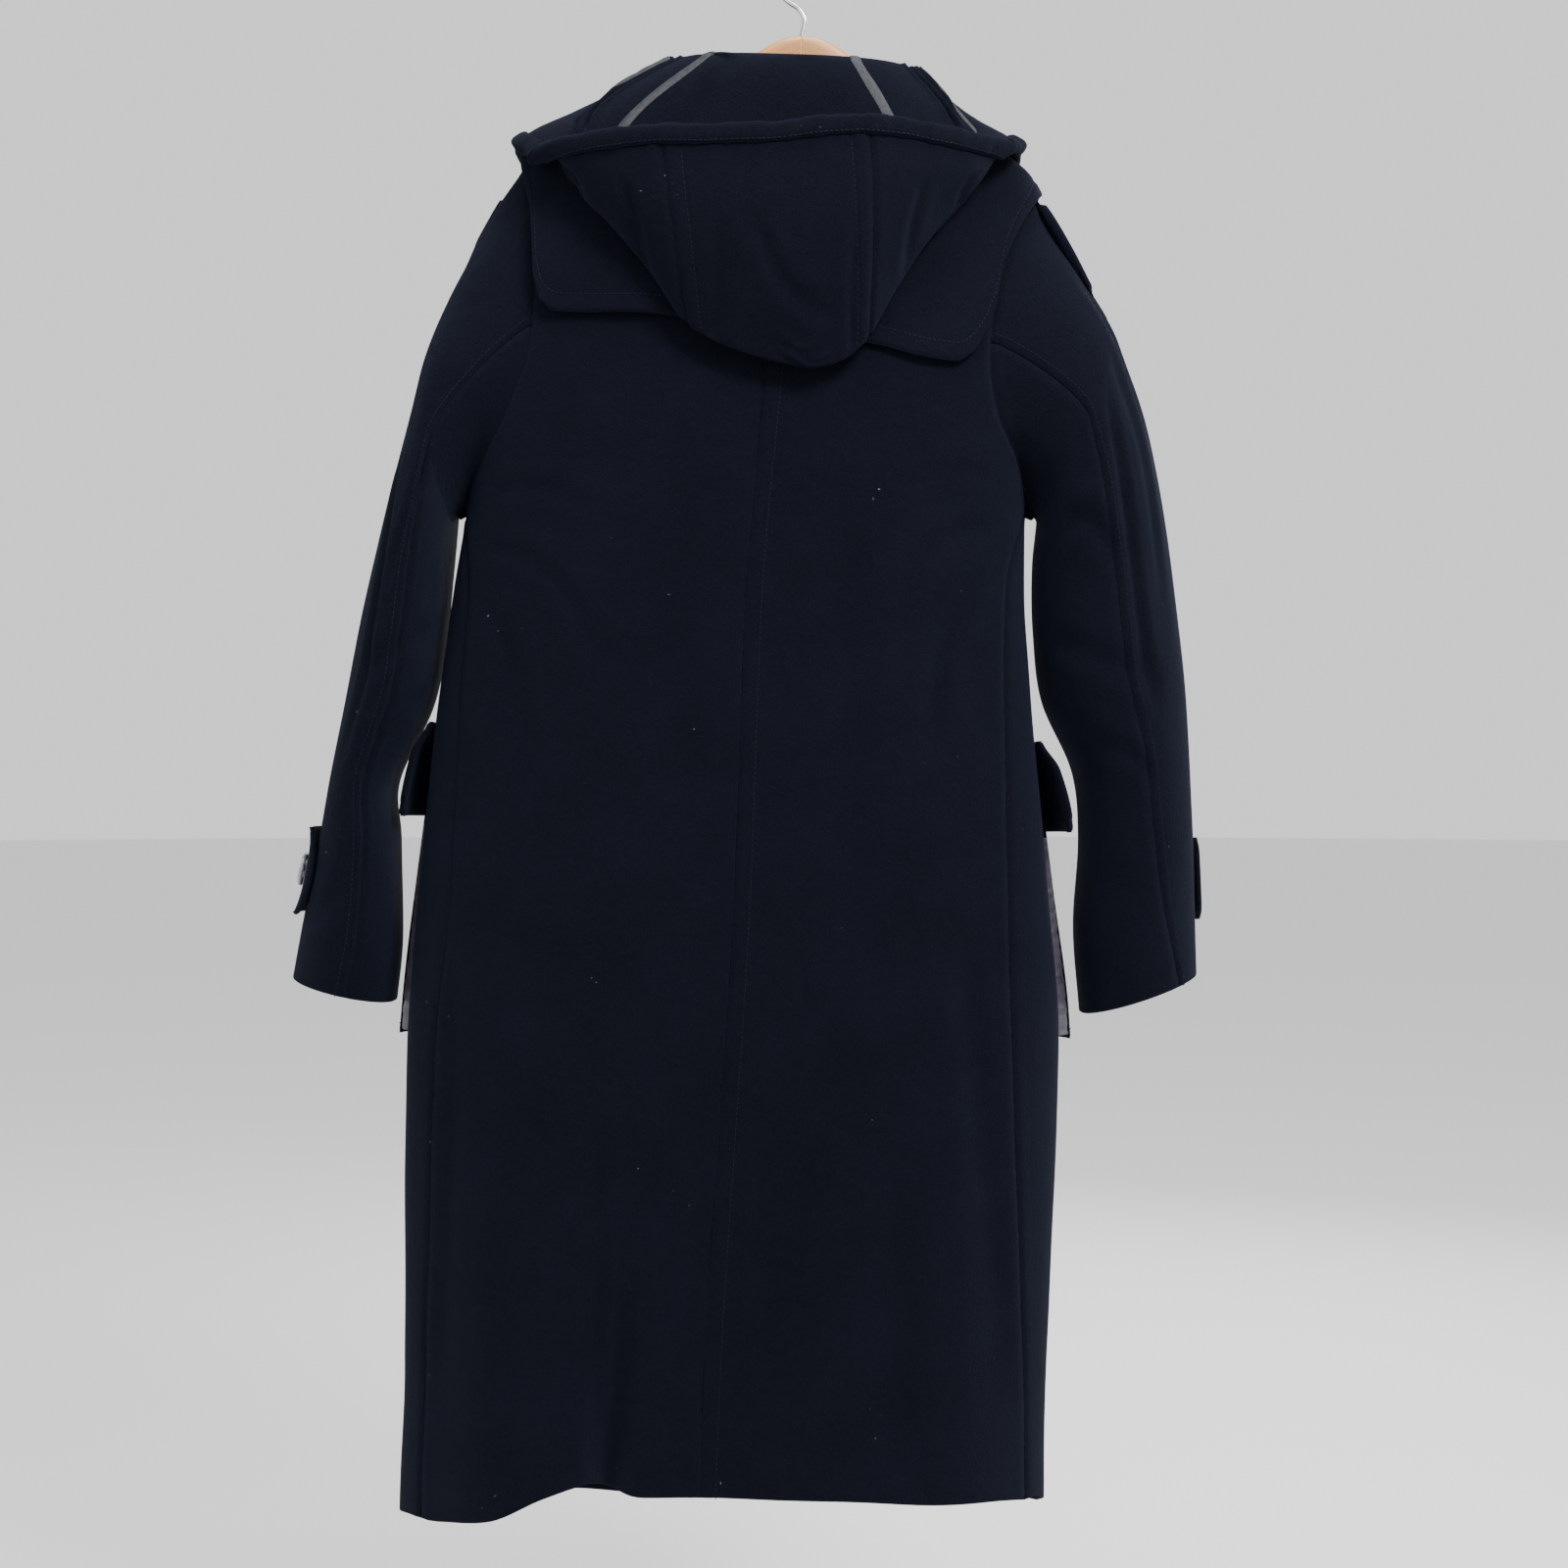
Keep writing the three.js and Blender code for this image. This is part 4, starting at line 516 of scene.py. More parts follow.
# Creases of the hood, by column and share along; a share counts creaseScale times in their widths:
# along 0.1 to 0.45 is the inner surface over the neck, 0.6 to 1 the pouch that shows on the back
hoodCreases = [
    dict(path=[(11.0, 0.36), (9.5, 0.25), (8.3, 0.20)], halfWidth=0.42, depth=2.2),
    dict(path=[(7.3, 0.40), (6.9, 0.28), (6.6, 0.16)], halfWidth=0.30, depth=5.5),
    dict(path=[(6.3, 0.38), (6.1, 0.26), (6.0, 0.14)], halfWidth=0.26, depth=-3.0),
    dict(path=[(16.4, 0.40), (16.8, 0.28), (17.0, 0.16)], halfWidth=0.28, depth=5.5),
    dict(path=[(17.5, 0.38), (17.6, 0.26), (17.7, 0.14)], halfWidth=0.24, depth=-3.0),
    dict(path=[(4.9, 0.36), (5.2, 0.26), (5.4, 0.16)], halfWidth=0.24, depth=3.0),
    dict(path=[(18.6, 0.36), (18.4, 0.26), (18.3, 0.16)], halfWidth=0.24, depth=3.0),
    dict(path=[(12.0, 0.40), (12.2, 0.30), (12.1, 0.22)], halfWidth=0.9, depth=1.8),
    dict(path=[(11.3, 0.70), (12.0, 0.66), (12.7, 0.665)], halfWidth=0.16, depth=-1.8),
    dict(path=[(11.0, 0.745), (11.8, 0.72), (12.4, 0.73)], halfWidth=0.14, depth=-1.4),
    dict(path=[(10.6, 0.90), (11.4, 0.80), (12.6, 0.77), (13.4, 0.80)], halfWidth=0.30, depth=2.0),
    dict(path=[(9.6, 0.64), (9.9, 0.75), (10.2, 0.9)], halfWidth=0.35, depth=1.8),
    dict(path=[(13.4, 0.64), (13.2, 0.76), (13.3, 0.9)], halfWidth=0.35, depth=1.6),
    dict(path=[(7.8, 0.66), (7.9, 0.78), (7.6, 0.92)], halfWidth=0.35, depth=2.2),
    dict(path=[(15.6, 0.66), (15.4, 0.78), (15.8, 0.92)], halfWidth=0.35, depth=2.2),
    dict(path=[(6.0, 0.66), (6.2, 0.76), (5.8, 0.9)], halfWidth=0.3, depth=2.0),
    dict(path=[(17.2, 0.66), (17.1, 0.78), (17.4, 0.9)], halfWidth=0.3, depth=2.0),
]


# The body's angle below each column, where x and z are given
def hoodAngles(xs, zs):
    found = []
    for at, face, x, z in zip(hood["at"], hood["face"], xs, zs):
        side = "left" if at < hoodMake["middle"] else "right"
        if face == "ridge":
            found.append(sides[side] * 90.0)
        elif face == "back":
            found.append(float(angleAt(float(x), float(z))))
        else:
            found.append(float(frontAngle(side, float(x), float(z))))
    return found


hoodFoldAngle = hoodAngles(hood["foldX"], hood["foldZ"])
hoodEdgeAngle = hoodAngles(hood["edgeX"], hood["edgeZ"])


# The twelve points that a column of the hood passes through
def hoodKnots(at):
    def value(column):
        return read(hood["at"], column, at)
    neckAngle, opening = value(hood["neck"]), value(hood["open"])
    foldAngle, foldZ = value(hoodFoldAngle), value(hood["foldZ"])
    edgeAngle, edgeZ, edgeOut = value(hoodEdgeAngle), value(hood["edgeZ"]), value(hood["edgeOut"])
    neck = neckZ(neckAngle)

    def onBody(angle, z, out, lift=0.0):
        x = bodyFace(angle, z)[..., 0]
        step = np.where((np.abs(angle) > 90) & (neckAngle > 0), lapOut("right", x, z), 0)
        point = bodyPoint(angle, z, out + step)
        point[..., 2] += lift
        return point

    # "held" keeps an open column close to its place at the neck for longer
    def between(t, out, held=0.0):
        return onBody(mix(neckAngle, foldAngle, t - held * opening**3), mix(neck, foldZ, t), out)

    def rising(t, out):
        return onBody(mix(foldAngle, edgeAngle, t), mix(foldZ, edgeZ, t), out)
    base = hoodMake["out"]
    foldOut = base + 12 * opening
    # the neck seam, the inner surface down to the fold, and the pouch up to its edge
    return np.stack([
        onBody(neckAngle, neck, 0.0, hoodMake["neckGap"]),
        onBody(neckAngle, neck, 0.6, 5.5),
        onBody(neckAngle, neck, 5.0, 8.0),
        onBody(neckAngle, neck, base + 1, 2.0),
        between(0.3, base + 0.8, 0.22),
        between(0.65, base + 0.4, 0.14),
        between(0.92, base + 0.6),
        rising(0.0, base + 5 * opening + 0.6),
        rising(0.1, foldOut + 0.6),
        rising(0.4, mix(foldOut, edgeOut, 0.5)),
        rising(0.75, mix(foldOut, edgeOut, 0.85)),
        rising(1.0, edgeOut)], -2)


# A smooth curve through knots, which are spaced by the root of their distances
def throughKnots(knots, v):
    count = knots.shape[-2]
    at = np.clip(v, 0, 1) * (count - 1)
    i = np.clip(np.floor(at).astype(int), 0, count - 2)
    w = (at - i)[..., None]
    before = 2 * knots[..., :1, :] - knots[..., 1:2, :]
    after = 2 * knots[..., -1:, :] - knots[..., -2:-1, :]
    padded = np.concatenate([before, knots, after], -2)

    def pick(k):
        return np.take_along_axis(padded, (i + k)[..., None, None], -2)[..., 0, :]
    p = [pick(k) for k in range(4)]
    d = [np.maximum(np.linalg.norm(p[k + 1] - p[k], axis=-1), 1e-6)[..., None] ** 0.5 for k in range(3)]
    t1 = ((p[1] - p[0]) / d[0] - (p[2] - p[0]) / (d[0] + d[1]) + (p[2] - p[1]) / d[1]) * d[1]
    t2 = ((p[2] - p[1]) / d[1] - (p[3] - p[1]) / (d[1] + d[2]) + (p[3] - p[2]) / d[2]) * d[1]
    return p[1] + t1 * w + (-3 * p[1] + 3 * p[2] - 2 * t1 - t2) * w**2 + (2 * p[1] - 2 * p[2] + t1 + t2) * w**3


def hoodFace(at, v):
    at, v = np.broadcast_arrays(np.asarray(at, float), np.asarray(v, float))
    values, place = np.unique(np.round(np.clip(at, 0, hoodMake["end"]), 6), return_inverse=True)
    return throughKnots(hoodKnots(values)[place.reshape(at.shape)], v)


# "into" moves a point into the hood, away from its right side
def hoodPoint(at, v, into=0.0):
    at, v = np.broadcast_arrays(np.asarray(at, float), np.asarray(v, float))
    point = hoodFace(at, v)
    across = hoodFace(np.minimum(at + 0.5, hoodMake["end"]), v) - hoodFace(np.maximum(at - 0.5, 0), v)
    down = hoodFace(at, np.minimum(v + 0.01, 1)) - hoodFace(at, np.maximum(v - 0.01, 0))
    crease = creasesAlong(hoodCreases, at, v, hoodMake["creaseScale"])
    # a crease goes into the pouch's outside and into the inner surface, and fades at the fold and at the edge
    way = np.where(v > 0.55, smooth((v - 0.57) * 20), -smooth((0.5 - v) * 20))
    push = crease * way * smooth((1 - v) * 14)
    return point + unit(np.cross(down, across)) * (np.asarray(into, float) + push)[..., None]


# Meshes
def newObject(name, data):
    made = bpy.data.objects.new(name, data)
    bpy.context.scene.collection.objects.link(made)
    return made


def meshOf(name, points, faces, material):
    mesh = bpy.data.meshes.new(name)
    mesh.from_pydata((np.asarray(points, float) / 1000).tolist(), [], faces)
    mesh.materials.append(material)
    mesh.polygons.foreach_set("use_smooth", [True] * len(mesh.polygons))
    mesh.update()
    return newObject(name, mesh)


# The plain mesh that an object's modifiers give
def evaluatedMesh(holder):
    return bpy.data.meshes.new_from_object(holder.evaluated_get(bpy.context.evaluated_depsgraph_get()))


def faceOut(piece):
    bm = bmesh.new()
    bm.from_mesh(piece.data)
    bmesh.ops.recalc_face_normals(bm, faces=bm.faces)
    if bm.calc_volume(signed=True) < 0:
        bmesh.ops.reverse_faces(bm, faces=bm.faces)
    bm.to_mesh(piece.data)
    bm.free()
    return piece


# The faces of a tube whose points come ring by ring
def tubeFaces(rings, around):
    return [[i * around + j, i * around + (j + 1) % around, (i + 1) * around + (j + 1) % around,
             (i + 1) * around + j]
            for i in range(rings - 1) for j in range(around)]


def cappedTube(rings, around):
    return tubeFaces(rings, around) + [list(range(around)), list(range((rings - 1) * around, rings * around))]


# Places across a piece from 0 to 1, closer together at its two ends
def places(count, ends=(0.006, 0.02)):
    inner = np.linspace(0, 1, count + 1)[1:-1]
    return np.concatenate([[0], ends, inner[(inner > ends[-1] * 1.3) & (inner < 1 - ends[-1] * 1.3)],
                           1 - np.array(ends)[::-1], [1]])


# How far each point of a grid is along its row or column
def distances(grid, axis):
    steps = np.linalg.norm(np.diff(grid, axis=axis), axis=-1)
    zero = np.zeros_like(np.take(steps, [0], axis))
    return np.concatenate([zero, np.cumsum(steps, axis)], axis)


# How the cloth is shaped beside its seams, its stitched lines and over its whole face, in millimetres
edgeShape = dict(seamDip=1.1, seamWidth=2.6, pucker=0.25, puckerTurn=0.55, swell=0.35, swellAt=5.5,
                 swellWidth=3.2,
                 grooveWidth=1.5, quilt=0.45, quiltReach=3)
unevenTurn = dict(x=0.045, xz=0.021, z=0.033, zx=0.017)
freeEdges = dict(first="free", last="free", bottom="free", top="free")


# A wall of cloth from a surface: seams dip at their edges, free edges are rounded, stitched lines pressed in.
# "edges" names what each edge is: seam, free or plain; "grooves" lists edge, distance and depth
def clothShell(name, surface, us, vs, material, thickness=None, edges=None, grooves=(), uneven=0.35, seed=0):
    thickness, shape = thickness or coat["cloth"], edgeShape
    u, v = np.meshgrid(us, vs)
    base = surface(u, v, np.zeros(u.shape))
    normal = unit(surface(u, v, np.full(u.shape, 1.0)) - base)
    across, down = distances(base, 1), distances(base, 0)
    far = dict(first=across, last=across[:, -1:] - across, bottom=down, top=down[-1:, :] - down)
    outer = np.zeros(u.shape)
    inner = np.full(u.shape, -thickness)
    for edge, kind in (edges or {}).items():
        d = far[edge]
        if kind == "seam":
            along = down if edge in ("first", "last") else across
            wave = 1 + shape["pucker"] * np.sin(along * shape["puckerTurn"] + seed)
            outer -= shape["seamDip"] * np.exp(-(d / shape["seamWidth"]) ** 2) * wave
            outer += shape["swell"] * np.exp(-((d - shape["swellAt"]) / shape["swellWidth"]) ** 2)
        if kind == "free":
            r = thickness * 0.5
            turn = np.sqrt(np.clip(1 - (1 - np.clip(d / r, 0, 1)) ** 2, 0, 1))
            outer -= r * (1 - turn)
            inner += r * (1 - turn)
    for edge, distance, depth in grooves:
        d = far[edge]
        outer -= depth * np.exp(-((d - distance) / shape["grooveWidth"]) ** 2)
        reach = shape["quiltReach"]
        outer += depth * shape["quilt"] * smooth((distance - d) / reach) * smooth(d / reach)
    phase, x, z = seed * 1.7, base[..., 0], base[..., 2]
    outer += uneven * (np.sin(x * unevenTurn["x"] + z * unevenTurn["xz"] + phase)
                       * np.sin(z * unevenTurn["z"] - x * unevenTurn["zx"] + phase * 2))
    rows, columns = u.shape
    top = base + normal * outer[..., None]
    under = base + normal * inner[..., None]
    points = np.concatenate([top.reshape(-1, 3), under.reshape(-1, 3)])
    index = np.arange(rows * columns).reshape(rows, columns)
    a, b, c, d = index[:-1, :-1], index[:-1, 1:], index[1:, 1:], index[1:, :-1]
    n = rows * columns
    quads = [np.stack([a, b, c, d], -1).reshape(-1, 4), np.stack([a, d, c, b], -1).reshape(-1, 4) + n]
    rim = np.concatenate([index[0, :], index[1:, -1], index[-1, -2::-1], index[-2:0:-1, 0]])
    nextRim = np.roll(rim, -1)
    quads.append(np.stack([nextRim, rim, rim + n, nextRim + n], -1))
    piece = faceOut(meshOf(name, points, np.concatenate(quads).tolist(), material))
    return dict(piece=piece, top=top, normal=normal, far=far)


# A line on a shell at a distance from one of its edges, lifted off it
def lineAlong(shell, edge, distance, lift=0.3, start=0.0, end=1.0):
    far, top, normal = shell["far"][edge], shell["top"], shell["normal"]
    byRow = edge in ("first", "last")
    count = far.shape[0] if byRow else far.shape[1]
    line = []
    for k in range(int(count * start), int(round(count * end))):
        d = far[k] if byRow else far[:, k]
        p = (top[k] if byRow else top[:, k]) + (normal[k] if byRow else normal[:, k]) * lift
        order = np.argsort(d)
        line.append([np.interp(distance, d[order], p[order, j]) for j in range(3)])
    return np.array(line)


# Materials: what is the same all over a surface is set on the shader's own sockets
def newMaterial(name, colour, roughness, metallic=0.0, **levels):
    material = bpy.data.materials.new(name)
    material.use_nodes = True
    material.diffuse_color = (*colour, 1)
    shader = material.node_tree.nodes["Principled BSDF"]
    shader.inputs["Base Color"].default_value = (*colour, 1)
    shader.inputs["Roughness"].default_value = roughness
    shader.inputs["Metallic"].default_value = metallic
    for socket, level in levels.items():
        shader.inputs[socket].default_value = level
    return material, material.node_tree, shader


def addNode(tree, kind, **values):
    node = tree.nodes.new(kind)
    for key, value in values.items():
        if key in node.inputs:
            node.inputs[key].default_value = value
        else:
            setattr(node, key, value)
    return node


def objectSpace(tree, scale=(1, 1, 1)):
    place = addNode(tree, "ShaderNodeTexCoord")
    mapping = addNode(tree, "ShaderNodeMapping", Scale=scale)
    tree.links.new(place.outputs["Object"], mapping.inputs["Vector"])
    return mapping.outputs["Vector"]


def noise(tree, vector, scale, detail=4.0, roughness=0.6, distortion=0.0):
    node = addNode(tree, "ShaderNodeTexNoise", Scale=scale, Detail=detail, Roughness=roughness,
                   Distortion=distortion)
    tree.links.new(vector, node.inputs["Vector"])
    return node.outputs["Fac"]


def ramp(tree, fac, stops):
    node = addNode(tree, "ShaderNodeValToRGB")
    while len(node.color_ramp.elements) < len(stops):
        node.color_ramp.elements.new(0.5)
    for element, (at, colour) in zip(node.color_ramp.elements, stops):
        element.position = at
        element.color = (*colour, 1)
    tree.links.new(fac, node.inputs["Fac"])
    return node.outputs["Color"]


def mixColour(tree, fac, a, b, mode="MIX"):
    node = addNode(tree, "ShaderNodeMix", data_type="RGBA", blend_type=mode)
    for value, socket in ((fac, node.inputs[0]), (a, node.inputs[6]), (b, node.inputs[7])):
        if isinstance(value, bpy.types.NodeSocket):
            tree.links.new(value, socket)
        elif isinstance(value, tuple):
            socket.default_value = (*value, 1)
        else:
            socket.default_value = value
    return node.outputs[2]


def calculated(tree, operation, *values):
    node = addNode(tree, "ShaderNodeMath", operation=operation)
    for value, socket in zip(values, node.inputs):
        if isinstance(value, bpy.types.NodeSocket):
            tree.links.new(value, socket)
        else:
            socket.default_value = value
    return node.outputs[0]


def paint(tree, shader, colour):
    tree.links.new(colour, shader.inputs["Base Color"])


def bump(tree, shader, height, strength, distance, before=None):
    node = addNode(tree, "ShaderNodeBump", Strength=strength, Distance=distance)
    tree.links.new(height, node.inputs["Height"])
    if before is not None:
        tree.links.new(before, node.inputs["Normal"])
    tree.links.new(node.outputs["Normal"], shader.inputs["Normal"])
    return node.outputs["Normal"]


# Sizes of a pattern are repeats in a metre
wool = dict(dark=(0.0010, 0.0013, 0.0032), light=(0.0042, 0.0048, 0.0102), lint=(0.075, 0.075, 0.08),
            roughness=0.93,
            sheen=0.03, sheenTint=(0.4, 0.5, 0.95, 1), cloud=16.0, felt=620.0, nap=95.0, speck=310.0,
            speckGroup=21.0)


def meltonMaterial():
    material, tree, shader = newMaterial("melton", wool["dark"], wool["roughness"], **{
        "Sheen Weight": wool["sheen"], "Sheen Roughness": 0.45, "Sheen Tint": wool["sheenTint"],
        "Specular IOR Level": 0.05})
    vector = objectSpace(tree)
    cloudy = noise(tree, vector, wool["cloud"], 5.0, 0.62)
    felt = noise(tree, vector, wool["felt"], 6.0, 0.75, 0.4)
    mottled = mixColour(tree, 0.5, ramp(tree, cloudy, [(0.2, wool["dark"]), (0.95, wool["light"])]),
                        ramp(tree, felt, [(0.42, wool["dark"]), (0.64, wool["light"])]))
    # lint: small specks, and only in a few places
    specks = ramp(tree, noise(tree, vector, wool["speck"], 1.0, 0.4), [(0.775, (0, 0, 0)), (0.8, (1, 1, 1))])
    rare = ramp(tree, noise(tree, vector, wool["speckGroup"], 1.0, 0.5), [(0.64, (0, 0, 0)), (0.68, (1, 1, 1))])
    paint(tree, shader, mixColour(tree, mixColour(tree, 1.0, specks, rare, "MULTIPLY"), mottled, wool["lint"]))
    soft = bump(tree, shader, noise(tree, vector, wool["nap"], 4.0, 0.6), 0.35, 0.0022)
    bump(tree, shader, felt, 0.8, 0.0016, soft)
    return material


# Colours of the lining: dark and light are painted shade and painted highlight that follow the noise of its
# folds
satinLook = dict(dark=(0.022, 0.019, 0.029), light=(0.062, 0.054, 0.074), middle=(0.04, 0.035, 0.05),
                 folds=70.0,
                 weave=900.0)


def satinMaterial():
    material, tree, shader = newMaterial("satin_lining", satinLook["middle"], 0.45, **{"Sheen Weight": 0.05})
    folds = noise(tree, objectSpace(tree, (1, 1, 3.2)), satinLook["folds"], 3.0, 0.55)
    # the colour is darker in the hollows of the folds and lighter on their crests: painted shade and painted
    # highlight of the puckers
    paint(tree, shader, ramp(tree, folds, [(0.3, satinLook["dark"]), (0.7, satinLook["light"])]))
    weave = noise(tree, objectSpace(tree, (1, 1, 9)), satinLook["weave"], 2.0, 0.5)
    bump(tree, shader, weave, 0.2, 0.0003, bump(tree, shader, folds, 0.5, 0.0016))
    return material


tapeLook = dict(dark=(0.012, 0.013, 0.016), light=(0.028, 0.03, 0.036), middle=(0.03, 0.032, 0.036),
                shade=240.0,
                twill=420.0)


def tapeMaterial():
    material, tree, shader = newMaterial("binding_tape", tapeLook["middle"], 0.5, **{"Specular IOR Level": 0.2})
    vector = objectSpace(tree)
    shade = noise(tree, vector, tapeLook["shade"], 3.0, 0.6)
    paint(tree, shader, ramp(tree, shade, [(0.3, tapeLook["dark"]), (0.7, tapeLook["light"])]))
    twill = addNode(tree, "ShaderNodeTexWave", Scale=tapeLook["twill"], Distortion=0.6,
                    bands_direction="DIAGONAL")
    tree.links.new(vector, twill.inputs["Vector"])
    bump(tree, shader, twill.outputs["Fac"], 0.35, 0.0004)
    return material


woodLook = dict(pale=(0.45, 0.22, 0.075), tan=(0.35, 0.15, 0.042), brown=(0.2, 0.07, 0.017),
                plain=(0.6, 0.37, 0.17),
                slope=0.45, shortening=0.1, streaks=260.0, broad=55.0)


# The grain runs down each arm from the mitre at the middle
def woodMaterial():
    material, tree, shader = newMaterial("lacquered_wood", woodLook["plain"], 0.38,
                                         **{"Coat Weight": 0.2, "Coat Roughness": 0.25})
    place = addNode(tree, "ShaderNodeTexCoord")
    split = addNode(tree, "ShaderNodeSeparateXYZ")
    tree.links.new(place.outputs["Object"], split.inputs[0])
    away = calculated(tree, "ABSOLUTE", split.outputs[0])
    grain = addNode(tree, "ShaderNodeCombineXYZ")
    lean = calculated(tree, "MULTIPLY_ADD", away, woodLook["slope"], split.outputs[2])
    short = calculated(tree, "MULTIPLY", away, woodLook["shortening"])
    for value, socket in zip((short, split.outputs[1], lean), grain.inputs):
        tree.links.new(value, socket)
    streaks = noise(tree, grain.outputs[0], woodLook["streaks"], 5.0, 0.65, 0.8)
    broad = noise(tree, grain.outputs[0], woodLook["broad"], 3.0, 0.5, 1.2)
    pale, tan, brown = woodLook["pale"], woodLook["tan"], woodLook["brown"]
    paint(tree, shader, mixColour(tree, 0.55, ramp(tree, streaks, [(0.3, brown), (0.5, tan), (0.7, pale)]),
                                  ramp(tree, broad, [(0.35, tan), (0.65, pale)])))
    bump(tree, shader, streaks, 0.12, 0.0004)
    return material


# The finishes of one noise each: its stretch, size and strength, and the colours it runs through
simpleLooks = dict(
    steel=dict(name="bright_wire", base=(0.55, 0.56, 0.58), roughness=0.24, metallic=1.0, levels={},
               stretch=(1, 1, 0.2), grain=(1400.0, 3.0, 0.6), bump=(0.12, 0.0002),
               colours=[(0.3, (0.42, 0.43, 0.45)), (0.7, (0.66, 0.67, 0.68))]),
    pearl=dict(name="pearly_button", base=(0.16, 0.165, 0.19), roughness=0.3, metallic=0.0,
               levels={"Coat Weight": 0.6, "Coat Roughness": 0.12},
               stretch=(1, 1, 1), grain=(130.0, 3.0, 0.5, 2.5), bump=(0.08, 0.0003),
               colours=[(0.3, (0.13, 0.135, 0.165)), (0.52, (0.27, 0.28, 0.32)), (0.72, (0.46, 0.47, 0.5))]),
    horn=dict(name="dark_horn", base=(0.05, 0.024, 0.012), roughness=0.26, metallic=0.0,
              levels={"Coat Weight": 0.4},
              stretch=(0.22, 1, 1), grain=(240.0, 5.0, 0.6, 1.5), bump=(0.1, 0.0003),
              colours=[(0.32, (0.016, 0.008, 0.005)), (0.55, (0.06, 0.028, 0.014)), (0.75, (0.18, 0.1, 0.05))]),
    thread=dict(name="sewing_thread", base=(0.0025, 0.0028, 0.005), roughness=0.6, metallic=0.0,
                levels={"Specular IOR Level": 0.08},
                stretch=(1, 1, 1), grain=(2600.0, 2.0), bump=(0.3, 0.0002),
                colours=[(0.3, (0.0024, 0.0030, 0.0062)), (0.7, (0.0080, 0.0090, 0.0165))]),
)


def simpleMaterial(look):
    material, tree, shader = newMaterial(look["name"], look["base"], look["roughness"], look["metallic"],
                                         **look["levels"])
    grain = noise(tree, objectSpace(tree, look["stretch"]), *look["grain"])
    paint(tree, shader, ramp(tree, grain, look["colours"]))
    bump(tree, shader, grain, *look["bump"])
    return material


leatherLook = dict(dark=(0.007, 0.007, 0.007), light=(0.02, 0.019, 0.019), middle=(0.011, 0.0105, 0.011),
                   pores=900.0,
                   shade=180.0)


def leatherMaterial():
    material, tree, shader = newMaterial("black_leather", leatherLook["middle"], 0.55,
                                         **{"Specular IOR Level": 0.2})
    vector = objectSpace(tree)
    pores = addNode(tree, "ShaderNodeTexVoronoi", Scale=leatherLook["pores"])
    tree.links.new(vector, pores.inputs["Vector"])
    shade = noise(tree, vector, leatherLook["shade"])
    paint(tree, shader, ramp(tree, shade, [(0.3, leatherLook["dark"]), (0.7, leatherLook["light"])]))
    bump(tree, shader, pores.outputs["Distance"], 0.3, 0.0004)
    return material


melton, satin, tape = meltonMaterial(), satinMaterial(), tapeMaterial()
wood, leather = woodMaterial(), leatherMaterial()
steel, pearl, horn, thread = [simpleMaterial(simpleLooks[kind])
                              for kind in ("steel", "pearl", "horn", "thread")]
print("materials made")


# Node trees: stitches along lines, and a round cord or wire along a line
def newTree(name, sockets):
    tree = bpy.data.node_groups.new(name, "GeometryNodeTree")
    tree.interface.new_socket("Geometry", in_out="INPUT", socket_type="NodeSocketGeometry")
    tree.interface.new_socket("Geometry", in_out="OUTPUT", socket_type="NodeSocketGeometry")
    for label, kind, value in sockets:
        socket = tree.interface.new_socket(label, in_out="INPUT", socket_type=kind)
        if value is not None:
            socket.default_value = value
    tree.nodes.new("NodeGroupInput")
    tree.nodes.new("NodeGroupOutput")
    return tree, tree.nodes["Group Input"], tree.nodes["Group Output"]


# Both trees start with points at even steps along their line
def spacedCurve(tree, given, stepName):
    curve = addNode(tree, "GeometryNodeMeshToCurve")
    spaced = addNode(tree, "GeometryNodeResampleCurve", mode="LENGTH")
    tree.links.new(given.outputs["Geometry"], curve.inputs["Mesh"])
    tree.links.new(curve.outputs["Curve"], spaced.inputs["Curve"])
    tree.links.new(given.outputs[stepName], spaced.inputs["Length"])
    return spaced.outputs["Curve"]


# Both end as a real mesh with the given material
def endTree(tree, given, result, made):
    real = addNode(tree, "GeometryNodeRealizeInstances")
    painted = addNode(tree, "GeometryNodeSetMaterial")
    tree.links.new(made, real.inputs["Geometry"])
    tree.links.new(real.outputs["Geometry"], painted.inputs["Geometry"])
    tree.links.new(given.outputs["Material"], painted.inputs["Material"])
    tree.links.new(painted.outputs["Geometry"], result.inputs["Geometry"])
    return tree


def stitchTree():
    tree, given, result = newTree("stitches", [
        ("Pitch", "NodeSocketFloat", 0.0034), ("Stitch Length", "NodeSocketFloat", 0.0026),
        ("Thread Radius", "NodeSocketFloat", 0.00035), ("Material", "NodeSocketMaterial", None)])
    link = tree.links.new
    spaced = spacedCurve(tree, given, "Pitch")
    tangent = addNode(tree, "GeometryNodeInputTangent")
    turned = addNode(tree, "FunctionNodeAlignRotationToVector", axis="Z")
    ball = addNode(tree, "GeometryNodeMeshUVSphere", Segments=6, Rings=4, Radius=1.0)
    half = calculated(tree, "MULTIPLY", given.outputs["Stitch Length"], 0.5)
    size = addNode(tree, "ShaderNodeCombineXYZ")
    placed = addNode(tree, "GeometryNodeInstanceOnPoints")
    link(tangent.outputs["Tangent"], turned.inputs["Vector"])
    link(given.outputs["Thread Radius"], size.inputs[0])
    link(given.outputs["Thread Radius"], size.inputs[1])
    link(half, size.inputs[2])
    link(spaced, placed.inputs["Points"])
    link(ball.outputs["Mesh"], placed.inputs["Instance"])
    link(turned.outputs["Rotation"], placed.inputs["Rotation"])
    link(size.outputs[0], placed.inputs["Scale"])
    return endTree(tree, given, result, placed.outputs["Instances"])


